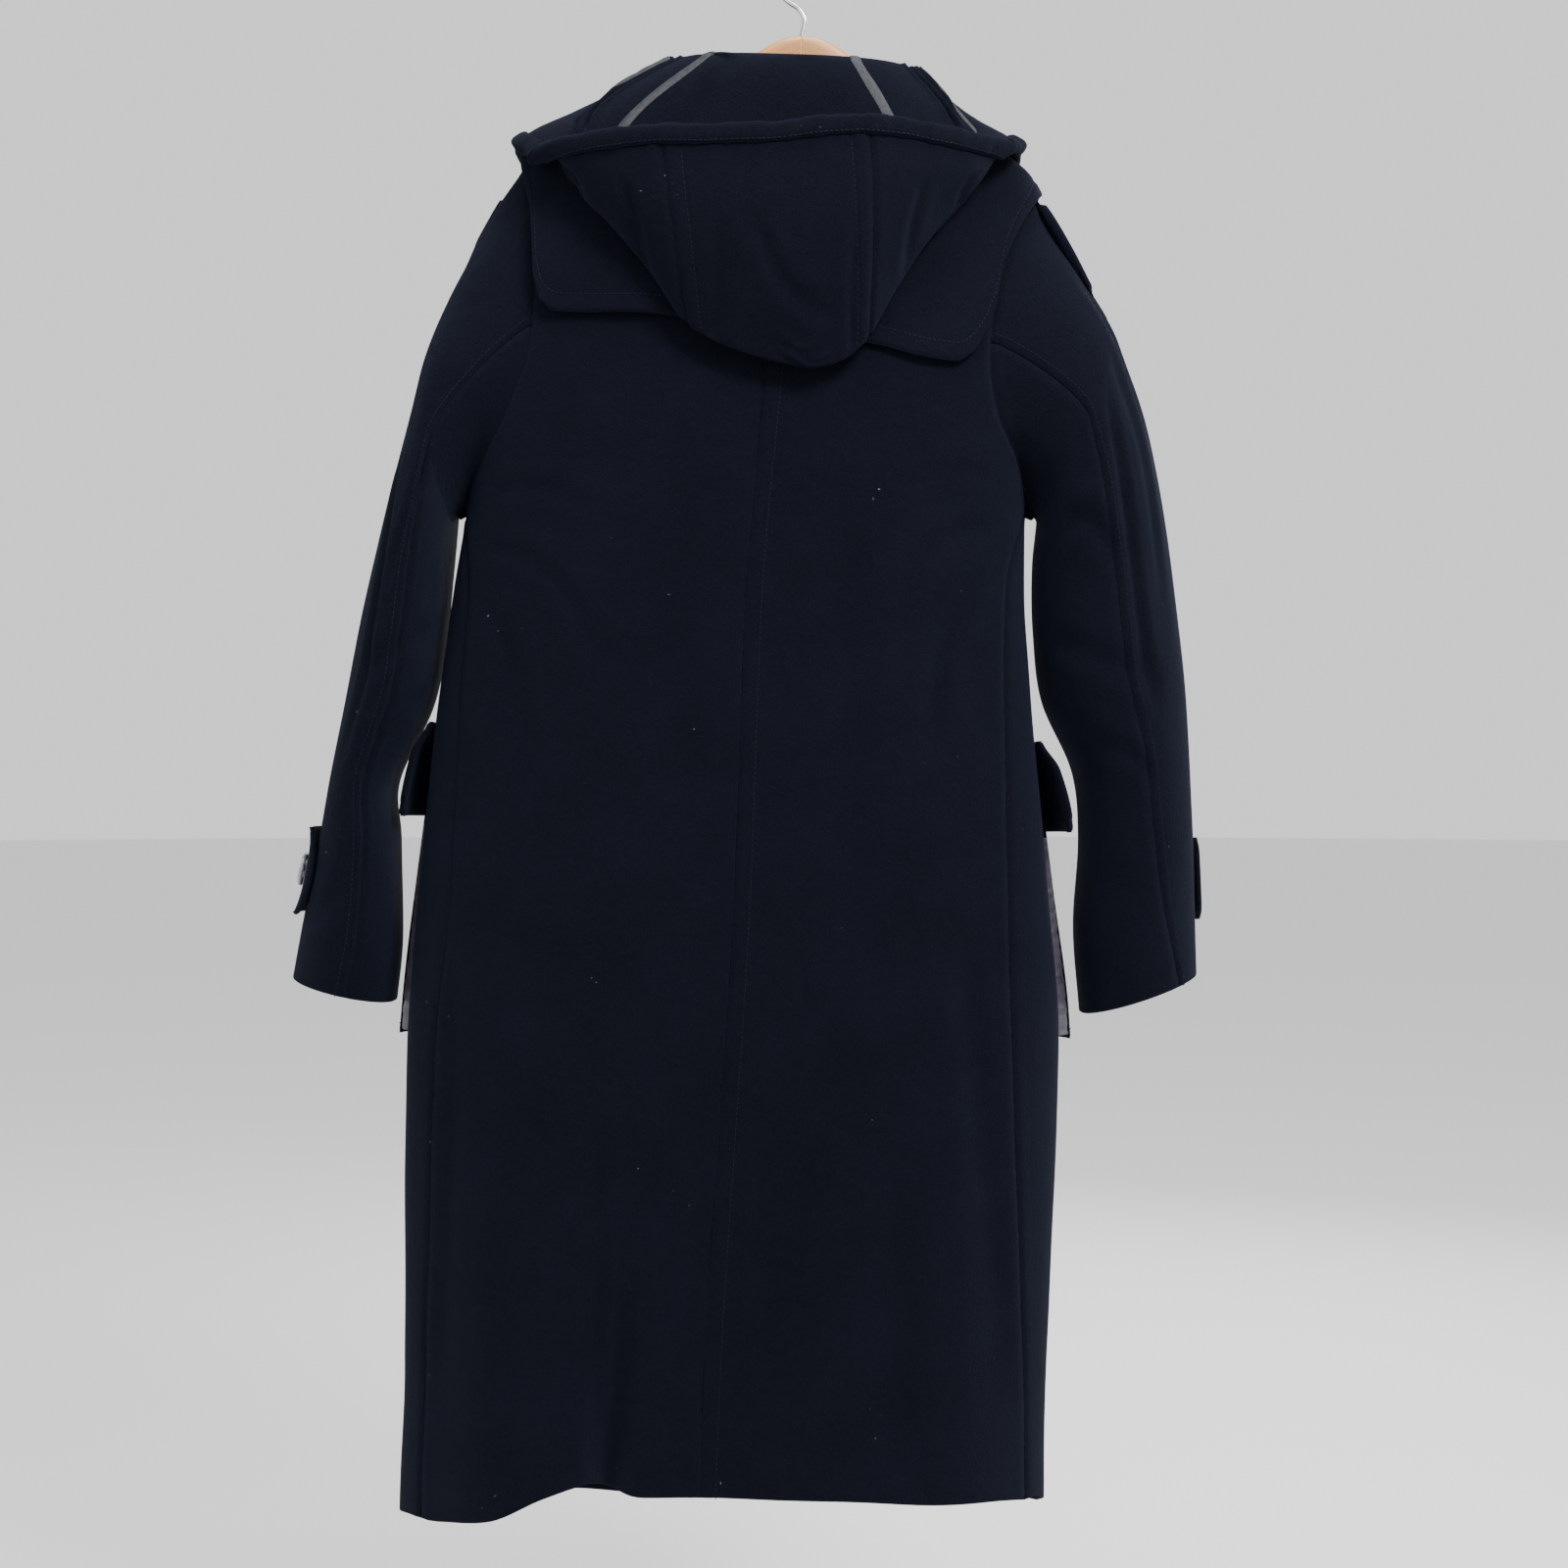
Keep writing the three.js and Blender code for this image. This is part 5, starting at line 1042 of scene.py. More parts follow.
def cordTree():
    tree, given, result = newTree("round_cord", [
        ("Radius", "NodeSocketFloat", 0.002), ("Sides", "NodeSocketInt", 14),
        ("Step", "NodeSocketFloat", 0.0015),
        ("Material", "NodeSocketMaterial", None)])
    link = tree.links.new
    spaced = spacedCurve(tree, given, "Step")
    ring = addNode(tree, "GeometryNodeCurvePrimitiveCircle")
    tube = addNode(tree, "GeometryNodeCurveToMesh", **{"Fill Caps": True})
    soft = addNode(tree, "GeometryNodeSetShadeSmooth")
    link(given.outputs["Sides"], ring.inputs["Resolution"])
    link(given.outputs["Radius"], ring.inputs["Radius"])
    link(spaced, tube.inputs["Curve"])
    link(ring.outputs["Curve"], tube.inputs["Profile Curve"])
    link(tube.outputs["Mesh"], soft.inputs["Geometry"])
    return endTree(tree, given, result, soft.outputs["Geometry"])


trees = dict(stitches=stitchTree(), cord=cordTree())


# Lines in millimetres go through a tree and come back as one plain mesh
def throughTree(name, lines, kind, **values):
    points, edges, tree = [], [], trees[kind]
    for line in lines:
        first = len(points)
        points += (np.asarray(line) / 1000).tolist()
        edges += [(k, k + 1) for k in range(first, len(points) - 1)]
    mesh = bpy.data.meshes.new(name + "_line")
    mesh.from_pydata(points, edges, [])
    holder = newObject(name + "_line", mesh)
    modifier = holder.modifiers.new("nodes", "NODES")
    modifier.node_group = tree
    names = {item.name: item.identifier for item in tree.interface.items_tree if item.in_out == "INPUT"}
    for key, value in values.items():
        modifier[names[key]] = value
    made = evaluatedMesh(holder)
    made.name = name
    bpy.data.objects.remove(holder)
    return newObject(name, made)


def splineThrough(points, count=60):
    points = np.asarray(points, float)
    return throughKnots(np.repeat(points[None], count, 0), np.linspace(0, 1, count))


# Each finished piece rides and stands for its solid
def finished(piece, slot, *nodes):
    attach(piece, "root")
    if nodes:
        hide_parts(*nodes)
    return piece


# Each kind of sheet has its ending of the name, its slot and its material
sheetKinds = dict(cloth=("wool", melton), ribbon=("tape", tape), satin=("lining", satin),
                  leather=("leather", leather))


# A wall that stands for the node
def sewn(node, kind, surface, us, vs, held, restsOn, **shape):
    slot, material = sheetKinds[kind]
    made = clothShell(f"{node}_{kind}", surface, us, vs, material, **shape)
    finished(made["piece"], slot, node)
    return made


# The camera stands at the photo's height and distance, and looks at the coat's back
cameraPlace = dict(location=(-0.013, -1.5, -0.611), angle=42.0, sensor=36.0, seesTo=60.0)
cameraData = bpy.data.cameras.new("camera")
cameraData.sensor_width = cameraPlace["sensor"]
cameraData.lens = cameraPlace["sensor"] / 2 / math.tan(math.radians(cameraPlace["angle"] / 2))
cameraData.clip_end = cameraPlace["seesTo"]
camera = newObject("camera", cameraData)
camera.location = cameraPlace["location"]
camera.rotation_euler = (math.radians(90), 0, 0)
bpy.context.scene.camera = camera

stitchLines = []  # lines of the topstitching, in the cloth's colour

# Body panels, each in rows and columns about one meshStep apart
panelSize = dict(length=1030, back=240, front=330, backStitchIn=11.5, frontStitchIn=8.0)
step = coat["meshStep"]
vs = places(int(panelSize["length"] / step), (0.0007, 0.002))
for side in sides:
    atCentre = side == "right"  # the centre-back seam is stitched on this half
    back = sewn(f"back_{side}", "cloth", backPanel(side),
                places(int(panelSize["back"] / step), (0.005, 0.014)), vs,
                "hung", [f"hanger_arm_{side}"], edges=dict(first="seam", last="seam", bottom="free"),
                grooves=[("last", panelSize["backStitchIn"], 0.5)] if atCentre else [], seed=sides[side])
    if atCentre:
        stitchLines.append(lineAlong(back, "last", panelSize["backStitchIn"], 0.1, 0.0, 0.8))
    front = sewn(f"front_{side}", "cloth", frontPanel(side),
                 places(int(panelSize["front"] / step), (0.004, 0.01)), vs,
                 "hung", [f"hanger_arm_{side}"], edges=dict(first="seam", last="free", bottom="free"),
                 grooves=[("last", panelSize["frontStitchIn"], 0.5)], seed=3 + sides[side])
    stitchLines.append(lineAlong(front, "last", panelSize["frontStitchIn"], 0.1, 0.0, 0.94))
print("body made")

# Sleeves, in two pieces each
sleeveMesh = dict(along=122, top=62, under=44, stitchIn=7.0)
for side in sides:
    alongs, turns = sleeve["backSeam"][side]

    def top(u, v, out):
        return sleevePoint(side, mix(sleeve["frontSeam"], read(alongs, turns, v), u), v, out)

    def under(u, v, out):
        return sleevePoint(side, mix(read(alongs, turns, v), sleeve["frontSeam"] + 360, u), v, out)
    for piece, surface in (("top", top), ("under", under)):
        made = sewn(f"sleeve_{piece}_{side}", "cloth", surface, places(sleeveMesh[piece], (0.006, 0.016)),
                    places(sleeveMesh["along"], (0.0015, 0.004)), "hung", [f"back_{side}_cloth"],
                    edges=dict(first="seam", last="seam", bottom="seam", top="free"), seed=5 + sides[side],
                    grooves=[("last", sleeveMesh["stitchIn"], 0.45)] if piece == "top" else [])
        if piece == "top":
            stitchLines.append(lineAlong(made, "last", sleeveMesh["stitchIn"], 0.1))
print("sleeves made")

made = sewn("yoke", "cloth", yokeSurface, places(230, (0.0009, 0.0024)), places(46, (0.006, 0.016)), "laid",
            ["back_left_cloth", "back_right_cloth"], edges=freeEdges, seed=9,
            grooves=[("bottom", yoke["stitchIn"], 0.6)])
stitchLines.append(lineAlong(made, "bottom", yoke["stitchIn"], 0.1, 0.01, 0.99))
print("yoke made")

# Hood panels: the places along them are close together at the pouch's fold
hoodVs = np.unique(np.concatenate([np.linspace(0, 0.12, 9), np.linspace(0.12, 0.5, 34),
                                   np.linspace(0.5, 0.7, 32),
                                   np.linspace(0.7, 0.995, 34), [0.998, 1.0]]))
hoodParts = dict(
    left=dict(start=0.0, end=hoodMake["seamLeft"], across=110, edges=dict(first="free", last="seam")),
    centre=dict(start=hoodMake["seamLeft"], end=hoodMake["seamRight"], across=70,
                edges=dict(first="seam", last="seam"), stitched=["first", "last"]),
    right=dict(start=hoodMake["seamRight"], end=hoodMake["end"], across=112,
               edges=dict(first="seam", last="free")),
)
for name, part in hoodParts.items():
    def surface(u, v, out):
        return hoodPoint(mix(part["start"], part["end"], u), v, -out)
    stitched = part.get("stitched", [])
    made = sewn(f"hood_{name}", "cloth", surface, places(part["across"], (0.004, 0.012)), hoodVs, "folded",
                ["yoke_cloth"], edges=part["edges"], seed=13 + part["start"], uneven=0.25,
                grooves=[(edge, hoodMake["stitchIn"], 0.55) for edge in stitched])
    for edge in stitched:
        stitchLines.append(lineAlong(made, edge, hoodMake["stitchIn"], 0.1, 0.47, 0.97))
print("hood made")

# The hood's padded edge: a roll whose girth is uneven, with a stitched seam on the side of its foot
rollShape = dict(around=20, along=420, lump=0.55, closeOver=5, seamDepth=0.16, seamWidth=0.35, stitchAt=13,
                 stitchOut=0.03)


def hoodRoll():
    end = hoodMake["end"]
    at = np.linspace(0, end, rollShape["along"])
    foot = hoodPoint(at, 1.0)
    rise = unit(foot - hoodPoint(at, 0.97))
    ahead = hoodPoint(np.minimum(at + 0.3, end), 1.0) - hoodPoint(np.maximum(at - 0.3, 0), 1.0)
    into = unit(np.cross(rise, ahead))
    way = np.concatenate([[0], np.cumsum(np.linalg.norm(np.diff(foot, axis=0), axis=1))])
    waves = np.sin(way * 0.13) + 0.8 * np.sin(way * 0.31 + 1.0) + 0.5 * np.sin(way * 0.57 + 2.0)
    lump = rollShape["lump"] * waves
    over = rollShape["closeOver"]
    close = np.maximum(np.minimum(smooth(way / over), smooth((way[-1] - way) / over)), 0.05)
    height = (hoodMake["rollHeight"] / 2 + lump * 0.5) * close
    depth = (hoodMake["rollDepth"] / 2 + lump * 0.6) * close
    middle = foot + rise * (hoodMake["rollHeight"] / 2 + hoodMake["rollGap"] - 0.6) + into * coat["cloth"] / 2
    rings = []
    for k in range(rollShape["around"]):
        turn = 2 * math.pi * k / rollShape["around"]
        c, s = math.cos(turn), math.sin(turn)
        square = (abs(c) ** 3 + abs(s) ** 3) ** (-1 / 3)
        seam = 1 - rollShape["seamDepth"] * math.exp(-((turn - math.pi) / rollShape["seamWidth"]) ** 2)
        rings.append(middle + rise * (c * square * seam * height)[:, None]
                     + into * (s * square * depth)[:, None])
    grid = np.stack(rings, 1)
    count, around = grid.shape[:2]
    faces = tubeFaces(count, around)
    for j in range(around):
        n = (j + 1) % around
        faces.append([count * around, n, j])
        faces.append([count * around + 1, (count - 1) * around + j, (count - 1) * around + n])
    points = np.concatenate([grid.reshape(-1, 3), middle[:1], middle[-1:]])
    return faceOut(meshOf("hood_edge_cloth", points, faces, melton)), grid


rollPiece, rollGrid = hoodRoll()
finished(rollPiece, "wool", "hood_edge_roll")
rollLine, rollMiddle = rollGrid[6:-6, rollShape["stitchAt"]], rollGrid[6:-6].mean(1)
stitchLines.append(rollLine + (rollLine - rollMiddle) * rollShape["stitchOut"])

# Binding tapes on the hood's seams, by column and share along
tapes = dict(
    left=dict(at=9.0, start=0.2, end=0.44, width=7.5),
    right=dict(at=14.0, start=0.2, end=0.44, width=7.5),
    shoulder_left=dict(at=5.9, start=0.25, end=0.38, width=7.0),
    shoulder_right=dict(at=17.9, start=0.25, end=0.42, width=7.0),
)
tapeMake = dict(thickness=0.7, gap=0.55, crown=0.5, uneven=0.05, unevenTurn=31)
for name, strip in tapes.items():
    def surface(u, v, out):
        along = mix(strip["start"], strip["end"], v)
        width = np.linalg.norm(hoodFace(strip["at"] + 0.5, along) - hoodFace(strip["at"] - 0.5, along), axis=-1)
        reach = strip["width"] / width * (1 + tapeMake["uneven"] * np.sin(v * tapeMake["unevenTurn"]))
        crown = tapeMake["crown"] * np.sin(u * math.pi)
        return hoodPoint(strip["at"] + (u - 0.5) * reach, along, coat["cloth"] + tapeMake["gap"] + out + crown)
    sewn(f"hood_tape_{name}", "ribbon", surface, places(8, (0.05,)), places(50, (0.01,)), "laid",
         ["hood_centre_cloth"], thickness=tapeMake["thickness"], edges=freeEdges, uneven=0.1)
print("hood edge and tapes made")

# Pockets: a patch, the satin lining that shows at its side, and a flap
pockets = dict(
    left=dict(top=-592, bottom=-796, flapTop=-566, flapFoot=-636, sideOut=14, flapOut=20, flapStart=84),
    right=dict(top=-604, bottom=-800, flapTop=-580, flapFoot=-648, sideOut=15, flapOut=23, flapStart=86),
)
pocketMake = dict(sideAngle=97, innerAngle=148, belly=5, gap=0.6, stitchIn=7, hemIn=24)
liningMake = dict(thickness=0.8, top=0.76, angleBack=2.5, bulge=2.2, ripple=0.3, pucker=0.7, inside=0.8)
flapMake = dict(thickness=5.0, over=6.2, drop=3, past=3, roundness=1.18, rest=9.2, stitchIn=8)


def pocketPoint(side, u, v, out):
    pocket = pockets[side]
    z = mix(pocket["bottom"], pocket["top"], v)
    angle = sides[side] * mix(pocketMake["sideAngle"], pocketMake["innerAngle"], u)
    gape = (pocket["sideOut"] - coat["cloth"] - pocketMake["gap"]) * (1 - u) * mix(1, 0.2, v)
    belly = pocketMake["belly"] * np.sin(math.pi * np.clip(u, 0, 1)) * smooth(v * 6)
    belly = belly * mix(1, 0.2, smooth((v - 0.55) / 0.45))
    return frontPoint(side, angle, z, coat["cloth"] + pocketMake["gap"] + gape + belly + out)


def liningPoint(side, u, v, out):
    pocket = pockets[side]
    z = mix(pocket["bottom"] + 3, mix(pocket["bottom"], pocket["top"], liningMake["top"]), v)
    share = (z - pocket["bottom"]) / (pocket["top"] - pocket["bottom"])
    edge = pocketPoint(side, np.full(u.shape, 0.02), share, -coat["cloth"] * 0.4)
    base = frontPoint(side, np.full(u.shape, sides[side] * (pocketMake["sideAngle"] - liningMake["angleBack"])),
                      z, 0.5)
    point = mix(base, edge, u[..., None])
    wave = np.sin(z * 0.62) + 0.6 * np.sin(z * 0.37 + 1.3) + 0.4 * np.sin(z * 1.13 + u * 3)
    point[..., 0] += sides[side] * (liningMake["bulge"] * np.sin(math.pi * u) + liningMake["ripple"] * wave)
    point[..., 1] += out - liningMake["inside"] + liningMake["pucker"] * wave * np.sin(math.pi * u)
    return point


def flapPoint(side, u, v, out):
    pocket = pockets[side]
    z = mix(pocket["flapTop"], pocket["flapFoot"], v)
    angle = sides[side] * mix(pocket["flapStart"], pocketMake["innerAngle"] + flapMake["past"], u)
    down = (pocket["flapTop"] - z) / (pocket["flapTop"] - pocket["top"] - 2)
    over = flapMake["over"] * smooth(down) + flapMake["drop"] * v
    flare = np.sin(np.minimum(v * flapMake["roundness"], 1) * math.pi / 2) ** 1.4
    flare = flare * mix(1, 0.86, smooth((v - 0.8) / 0.2))
    reach = np.maximum(pocket["flapOut"] - flapMake["thickness"] - pocketMake["gap"] - flapMake["rest"], 0)
    atSide = reach * flare * (1 - smooth(u * 2))
    return frontPoint(side, angle, z, flapMake["thickness"] + pocketMake["gap"] + over + atSide + out)


for side in sides:
    inner, hem = pocketMake["stitchIn"], pocketMake["hemIn"]
    made = sewn(f"pocket_{side}", "cloth", partial(pocketPoint, side), places(44, (0.008, 0.02)),
                places(44, (0.006, 0.016)), "hung", [f"front_{side}_cloth"], edges=freeEdges, seed=21,
                grooves=[("first", inner, 0.4), ("last", inner, 0.4),
                         ("bottom", inner, 0.4), ("top", hem, 0.4)])
    for edge, distance in (("last", inner), ("bottom", inner), ("top", hem)):
        stitchLines.append(lineAlong(made, edge, distance, 0.1, 0.04, 0.96))
    sewn(f"pocket_lining_{side}", "satin", partial(liningPoint, side), places(9, (0.06,)),
         places(110, (0.004,)), "hung", [f"pocket_{side}_cloth"], thickness=liningMake["thickness"],
         edges=freeEdges, uneven=0.15)
    made = sewn(f"flap_{side}", "cloth", partial(flapPoint, side), places(46, (0.008, 0.02)),
                places(24, (0.02, 0.05)), "folded", [f"front_{side}_cloth"],
                thickness=flapMake["thickness"], edges=freeEdges, seed=23,
                grooves=[(edge, flapMake["stitchIn"], 0.5) for edge in ("first", "last", "top")])
    stitchLines.append(lineAlong(made, "top", flapMake["stitchIn"], 0.1, 0.05, 0.95))
print("pockets made")

# Cuff straps and their buttons
straps = dict(
    left=dict(start=-96, end=42, top=0.795, foot=0.9, buttonTurn=8),
    right=dict(start=-100, end=4, top=0.825, foot=0.927, buttonTurn=-52),
)
strapMake = dict(thickness=4.0, gap=1.2, curl=3.2, pointed=0.16, stitchIn=6)
buttonMake = dict(diameter=24.5, rim=3.0, holes=3.4, holeOff=3.3, lift=0.9, turned=12, around=48, holeSides=16,
                  threadFoot=0.8, threadTop=2.9)


def strapPoint(side, u, v, out):
    strap = straps[side]
    toEdge = np.abs(2 * v - 1) ** 3
    turn = mix(strap["start"], strap["end"], u * (1 - strapMake["pointed"] * toEdge))
    lift = strapMake["gap"] + strapMake["thickness"] + strapMake["curl"] * toEdge
    return sleevePoint(side, turn, mix(strap["top"], strap["foot"], v), lift + out)


# A turned disc with a raised rim and four holes through it, flat at the origin
def drilledDisc(name):
    r, rim, off = buttonMake["diameter"] / 2, buttonMake["rim"], buttonMake["holeOff"] / 1000
    profile = [(0, 0), (r - 1.7, 0), (r - 0.5, 0.5), (r, 1.4), (r, 2.2), (r - 0.4, 3.0), (r - 1.3, 3.4),
               (r - 2.2, 3.3),
               (r - rim, 2.9), (r - rim - 0.7, 2.3), (r - rim - 1.6, 2.05), (0, 2.0)]
    bm = bmesh.new()
    ring = [bm.verts.new((x / 1000, 0, y / 1000)) for x, y in profile]
    chain = [bm.edges.new(pair) for pair in zip(ring, ring[1:])]
    bmesh.ops.spin(bm, geom=ring + chain, cent=(0, 0, 0), axis=(0, 0, 1), angle=2 * math.pi,
                   steps=buttonMake["around"])
    bmesh.ops.remove_doubles(bm, verts=bm.verts, dist=1e-6)
    bmesh.ops.recalc_face_normals(bm, faces=bm.faces)
    disc = newObject(name, bpy.data.meshes.new(name))
    bm.to_mesh(disc.data)
    bm.free()
    cutter, radius = bmesh.new(), buttonMake["holes"] / 2000
    for x, y in ((off, off), (-off, off), (off, -off), (-off, -off)):
        made = bmesh.ops.create_cone(cutter, cap_ends=True, segments=buttonMake["holeSides"], radius1=radius,
                                     radius2=radius, depth=0.02)
        bmesh.ops.translate(cutter, verts=made["verts"], vec=(x, y, 0))
    holes = newObject("holes", bpy.data.meshes.new("holes"))
    cutter.to_mesh(holes.data)
    cutter.free()
    drill = disc.modifiers.new("holes", "BOOLEAN")
    drill.operation, drill.object, drill.solver = "DIFFERENCE", holes, "EXACT"
    mesh = evaluatedMesh(disc)
    bpy.data.objects.remove(disc)
    bpy.data.objects.remove(holes)
    return mesh


# The disc lies on the strap at "middle", and its two threads run from hole to hole
def button(name, middle, normal):
    mesh = drilledDisc(name)
    z = Vector(normal).normalized()
    x = Vector((0, 0, 1)).cross(z).normalized()
    turned = math.radians(buttonMake["turned"])
    across = x * math.cos(turned) + z.cross(x) * math.sin(turned)
    upward = z.cross(across)
    for vertex in mesh.vertices:
        p = vertex.co.copy()
        vertex.co = Vector(middle) / 1000 + across * p.x + upward * p.y + z * p.z
    mesh.name = name
    mesh.materials.clear()
    mesh.materials.append(pearl)
    for polygon in mesh.polygons:
        polygon.use_smooth = polygon.area < 2e-5
    off, foot, top = buttonMake["holeOff"], buttonMake["threadFoot"], buttonMake["threadTop"]
    threads = []
    for rise in (off, -off):
        knots = [np.array(middle) + np.array(across) * a + np.array(upward) * rise + np.array(z) * lift
                 for a, lift in ((-off, foot), (-off * 0.7, top), (off * 0.7, top), (off, foot))]
        threads.append(splineThrough(knots, 14))
    return faceOut(newObject(name, mesh)), threads


buttonThreads = []
for side, strap in straps.items():
    made = sewn(f"cuff_strap_{side}", "cloth", partial(strapPoint, side), places(52, (0.008, 0.02)),
                places(26, (0.02, 0.05)), "folded", [f"sleeve_top_{side}_cloth"],
                thickness=strapMake["thickness"],
                edges=freeEdges, seed=31,
                grooves=[(edge, strapMake["stitchIn"], 0.45) for edge in ("last", "bottom", "top")])
    for edge in ("bottom", "top", "last"):
        stitchLines.append(lineAlong(made, edge, strapMake["stitchIn"], 0.1, 0.05, 0.95))
    u = np.array((strap["buttonTurn"] - strap["start"]) / (strap["end"] - strap["start"]))
    middle = strapPoint(side, u, np.array(0.5), 0.0)
    normal = unit(strapPoint(side, u, np.array(0.5), 2.0) - middle)
    disc, threads = button(f"cuff_button_{side}_pearl", middle + normal * buttonMake["lift"], normal)
    finished(disc, "button", f"cuff_button_{side}")
    buttonThreads += threads
finished(throughTree("button_threads", buttonThreads, "cord", Radius=0.0006, Sides=8, Step=0.0008,
                     Material=thread), "wool")
print("cuffs made")

# Front closing: a toggle on its cord on the left front, a loop on the right one
closing = dict(top=-326, step=-109.7, count=4, cord=4.0, loopOut=2.6, cordOut=7.4, toggleLength=52,
               toggleRadius=6.5,
               toggleOffEdge=-14, toggleOut=15.4, grooveOff=5.0, grooveDepth=1.3, grooveWidth=1.6,
               patchHeight=30, patchThickness=1.6, patchStitchIn=3.2)
patches = dict(left=(-84, -50), right=(60, 26))
lapStep = coat["cloth"] + coat["layerGap"]


# A point beside the lap's edge: x across from the edge, "rise" above the row's middle
def closingPoint(side, row, x, rise, out):
    x = np.asarray(x, float)
    z = np.full(x.shape, closing["top"] + closing["step"] * row)
    angle = frontAngle(side, frontEdgeX("right", z) + x, z)
    point = frontPoint(side, angle, z, np.asarray(out, float))
    point[..., 2] += rise
    return point


def patchPoint(side, row, u, v, out):
    half = closing["patchHeight"] / 2 * (1 - 0.42 * u**3 - 0.2 * (1 - u) ** 4)
    return closingPoint(side, row, mix(patches[side][0], patches[side][1], u), half * (2 * v - 1),
                        pocketMake["gap"] + out)


# A cord goes out along one half, round its end and back along the mirrored half
def cordWay(side, row, half):
    there = [closingPoint(side, row, np.array(float(x)), rise, out) for x, rise, out in half]
    back = [closingPoint(side, row, np.array(float(x)), -rise, out) for x, rise, out in half if rise > 0]
    return splineThrough(np.array(there + back[::-1]), 70)


def toggle(name, middle, way, rings=61, around=28):
    length = closing["toggleLength"] / 2
    x = np.linspace(-1, 1, rings)
    radius = closing["toggleRadius"] * np.sqrt(np.clip(1 - np.abs(x) ** 3.4, 0, 1)) * (1 - 0.13 * x**2)
    off, depth, width = closing["grooveOff"], closing["grooveDepth"], closing["grooveWidth"]
    first, second = [depth * np.exp(-((x * length + place) / width) ** 2) for place in (-off, off)]
    radius -= first + second
    radius = np.maximum(radius, 0.02)
    sideWay = unit(np.cross(way, [0, 0, 1.0]))
    upWay = np.cross(sideWay, way)
    turns = np.linspace(0, 2 * math.pi, around, endpoint=False)
    grid = (middle + (x * length)[:, None, None] * way
            + radius[:, None, None] * (np.cos(turns)[None, :, None] * sideWay
                                       + np.sin(turns)[None, :, None] * upWay))
    return faceOut(meshOf(name, grid.reshape(-1, 3), cappedTube(rings, around), horn))


leatherStitches = []
for row in range(closing["count"]):
    for side in patches:
        made = sewn(f"patch_{side}_{row + 1}", "leather", partial(patchPoint, side, row),
                    places(16, (0.02, 0.06)),
                    places(14, (0.02, 0.06)), "laid", [f"front_{side}_cloth"],
                    thickness=closing["patchThickness"],
                    edges=freeEdges, uneven=0.1)
        for edge in ("bottom", "top", "first"):
            leatherStitches.append(lineAlong(made, edge, closing["patchStitchIn"], 0.15, 0.14, 0.86))
    at, loopOut, cordOut = closing["toggleOffEdge"], closing["loopOut"], lapStep + closing["cordOut"]
    loopLine = cordWay("right", row, [
        (patches["right"][1] - 0.3, 6, loopOut), (at + 20, 6.5, loopOut), (at + 1, 6, loopOut),
        (at - 5, 4, loopOut),
        (at - 7.5, 0, loopOut)])
    cordLine = cordWay("left", row, [
        (patches["left"][1] + 0.3, 3.2, 2.2), (at - 25, 3.2, 5 + lapStep / 4), (at - 13, 3.2, lapStep + 7.0),
        (at - 3, 3, cordOut), (at + 1.5, 0, cordOut)])
    for label, line in (("loop", loopLine), ("toggle_cord", cordLine)):
        made = throughTree(f"{label}_{row + 1}_leather", [line], "cord", Radius=closing["cord"] / 2000,
                           Sides=14,
                           Step=0.002, Material=leather)
        finished(made, "leather", f"{label}_{row + 1}")
    middle = closingPoint("right", row, np.array(float(at)), 0, closing["toggleOut"])
    before, after = [closingPoint("right", row, np.array(at + off), 0, 0.0) for off in (-20.0, 20.0)]
    finished(toggle(f"toggle_{row + 1}_horn", middle, unit(after - before)), "horn", f"toggle_{row + 1}")
print("closing made")

# All the stitching, as short threads that follow the pressed-in lines; sizes in metres
stitchMake = dict(
    cloth={"Pitch": 0.0036, "Stitch Length": 0.0028, "Thread Radius": 0.00042},
    leather={"Pitch": 0.0028, "Stitch Length": 0.0021, "Thread Radius": 0.0003},
)
finished(throughTree("topstitching", stitchLines, "stitches", Material=thread, **stitchMake["cloth"]), "wool")
finished(throughTree("leather_stitching", leatherStitches, "stitches", Material=thread,
                     **stitchMake["leather"]), "leather")
print("stitching made")

# Hanger: two shaped arms that meet in a mitre, and the wire hook; crownX is the distance from the mitre
hanger = dict(top=-62.0, span=dict(left=186.0, right=158.0), thickness=13.0, heightMiddle=34.0, heightTip=22.0,
              underCloth=1.6, bow=2.0, followsCloth=78.0, tipRound=12, squareness=0.6, corners=36, evenOver=9,
              crownX=[0, 10, 20, 30, 40, 52], crownDrop=[0, 1.2, 5, 11, 18.5, 26])


# The body's outer line over the shoulder
def shoulderZ(side, x):
    keep = [k for k, z in enumerate(bodyRings["z"]) if z >= armholes[side]["top"] - 40]
    return read([bodyRings[side][k] for k in keep], [bodyRings["z"][k] for k in keep], x)


def armTop(side, reach):
    def under(at):
        return shoulderZ(side, sides[side] * at) - coat["cloth"] * 1.15 - hanger["underCloth"]
    crownEnd, drop, follows = hanger["crownX"][-1], hanger["crownDrop"][-1], hanger["followsCloth"]
    if reach >= follows:
        return float(under(reach))
    if reach <= crownEnd:
        return hanger["top"] - float(read(hanger["crownX"], hanger["crownDrop"], reach))
    return float(mix(hanger["top"] - drop, under(follows), (reach - crownEnd) / (follows - crownEnd)))


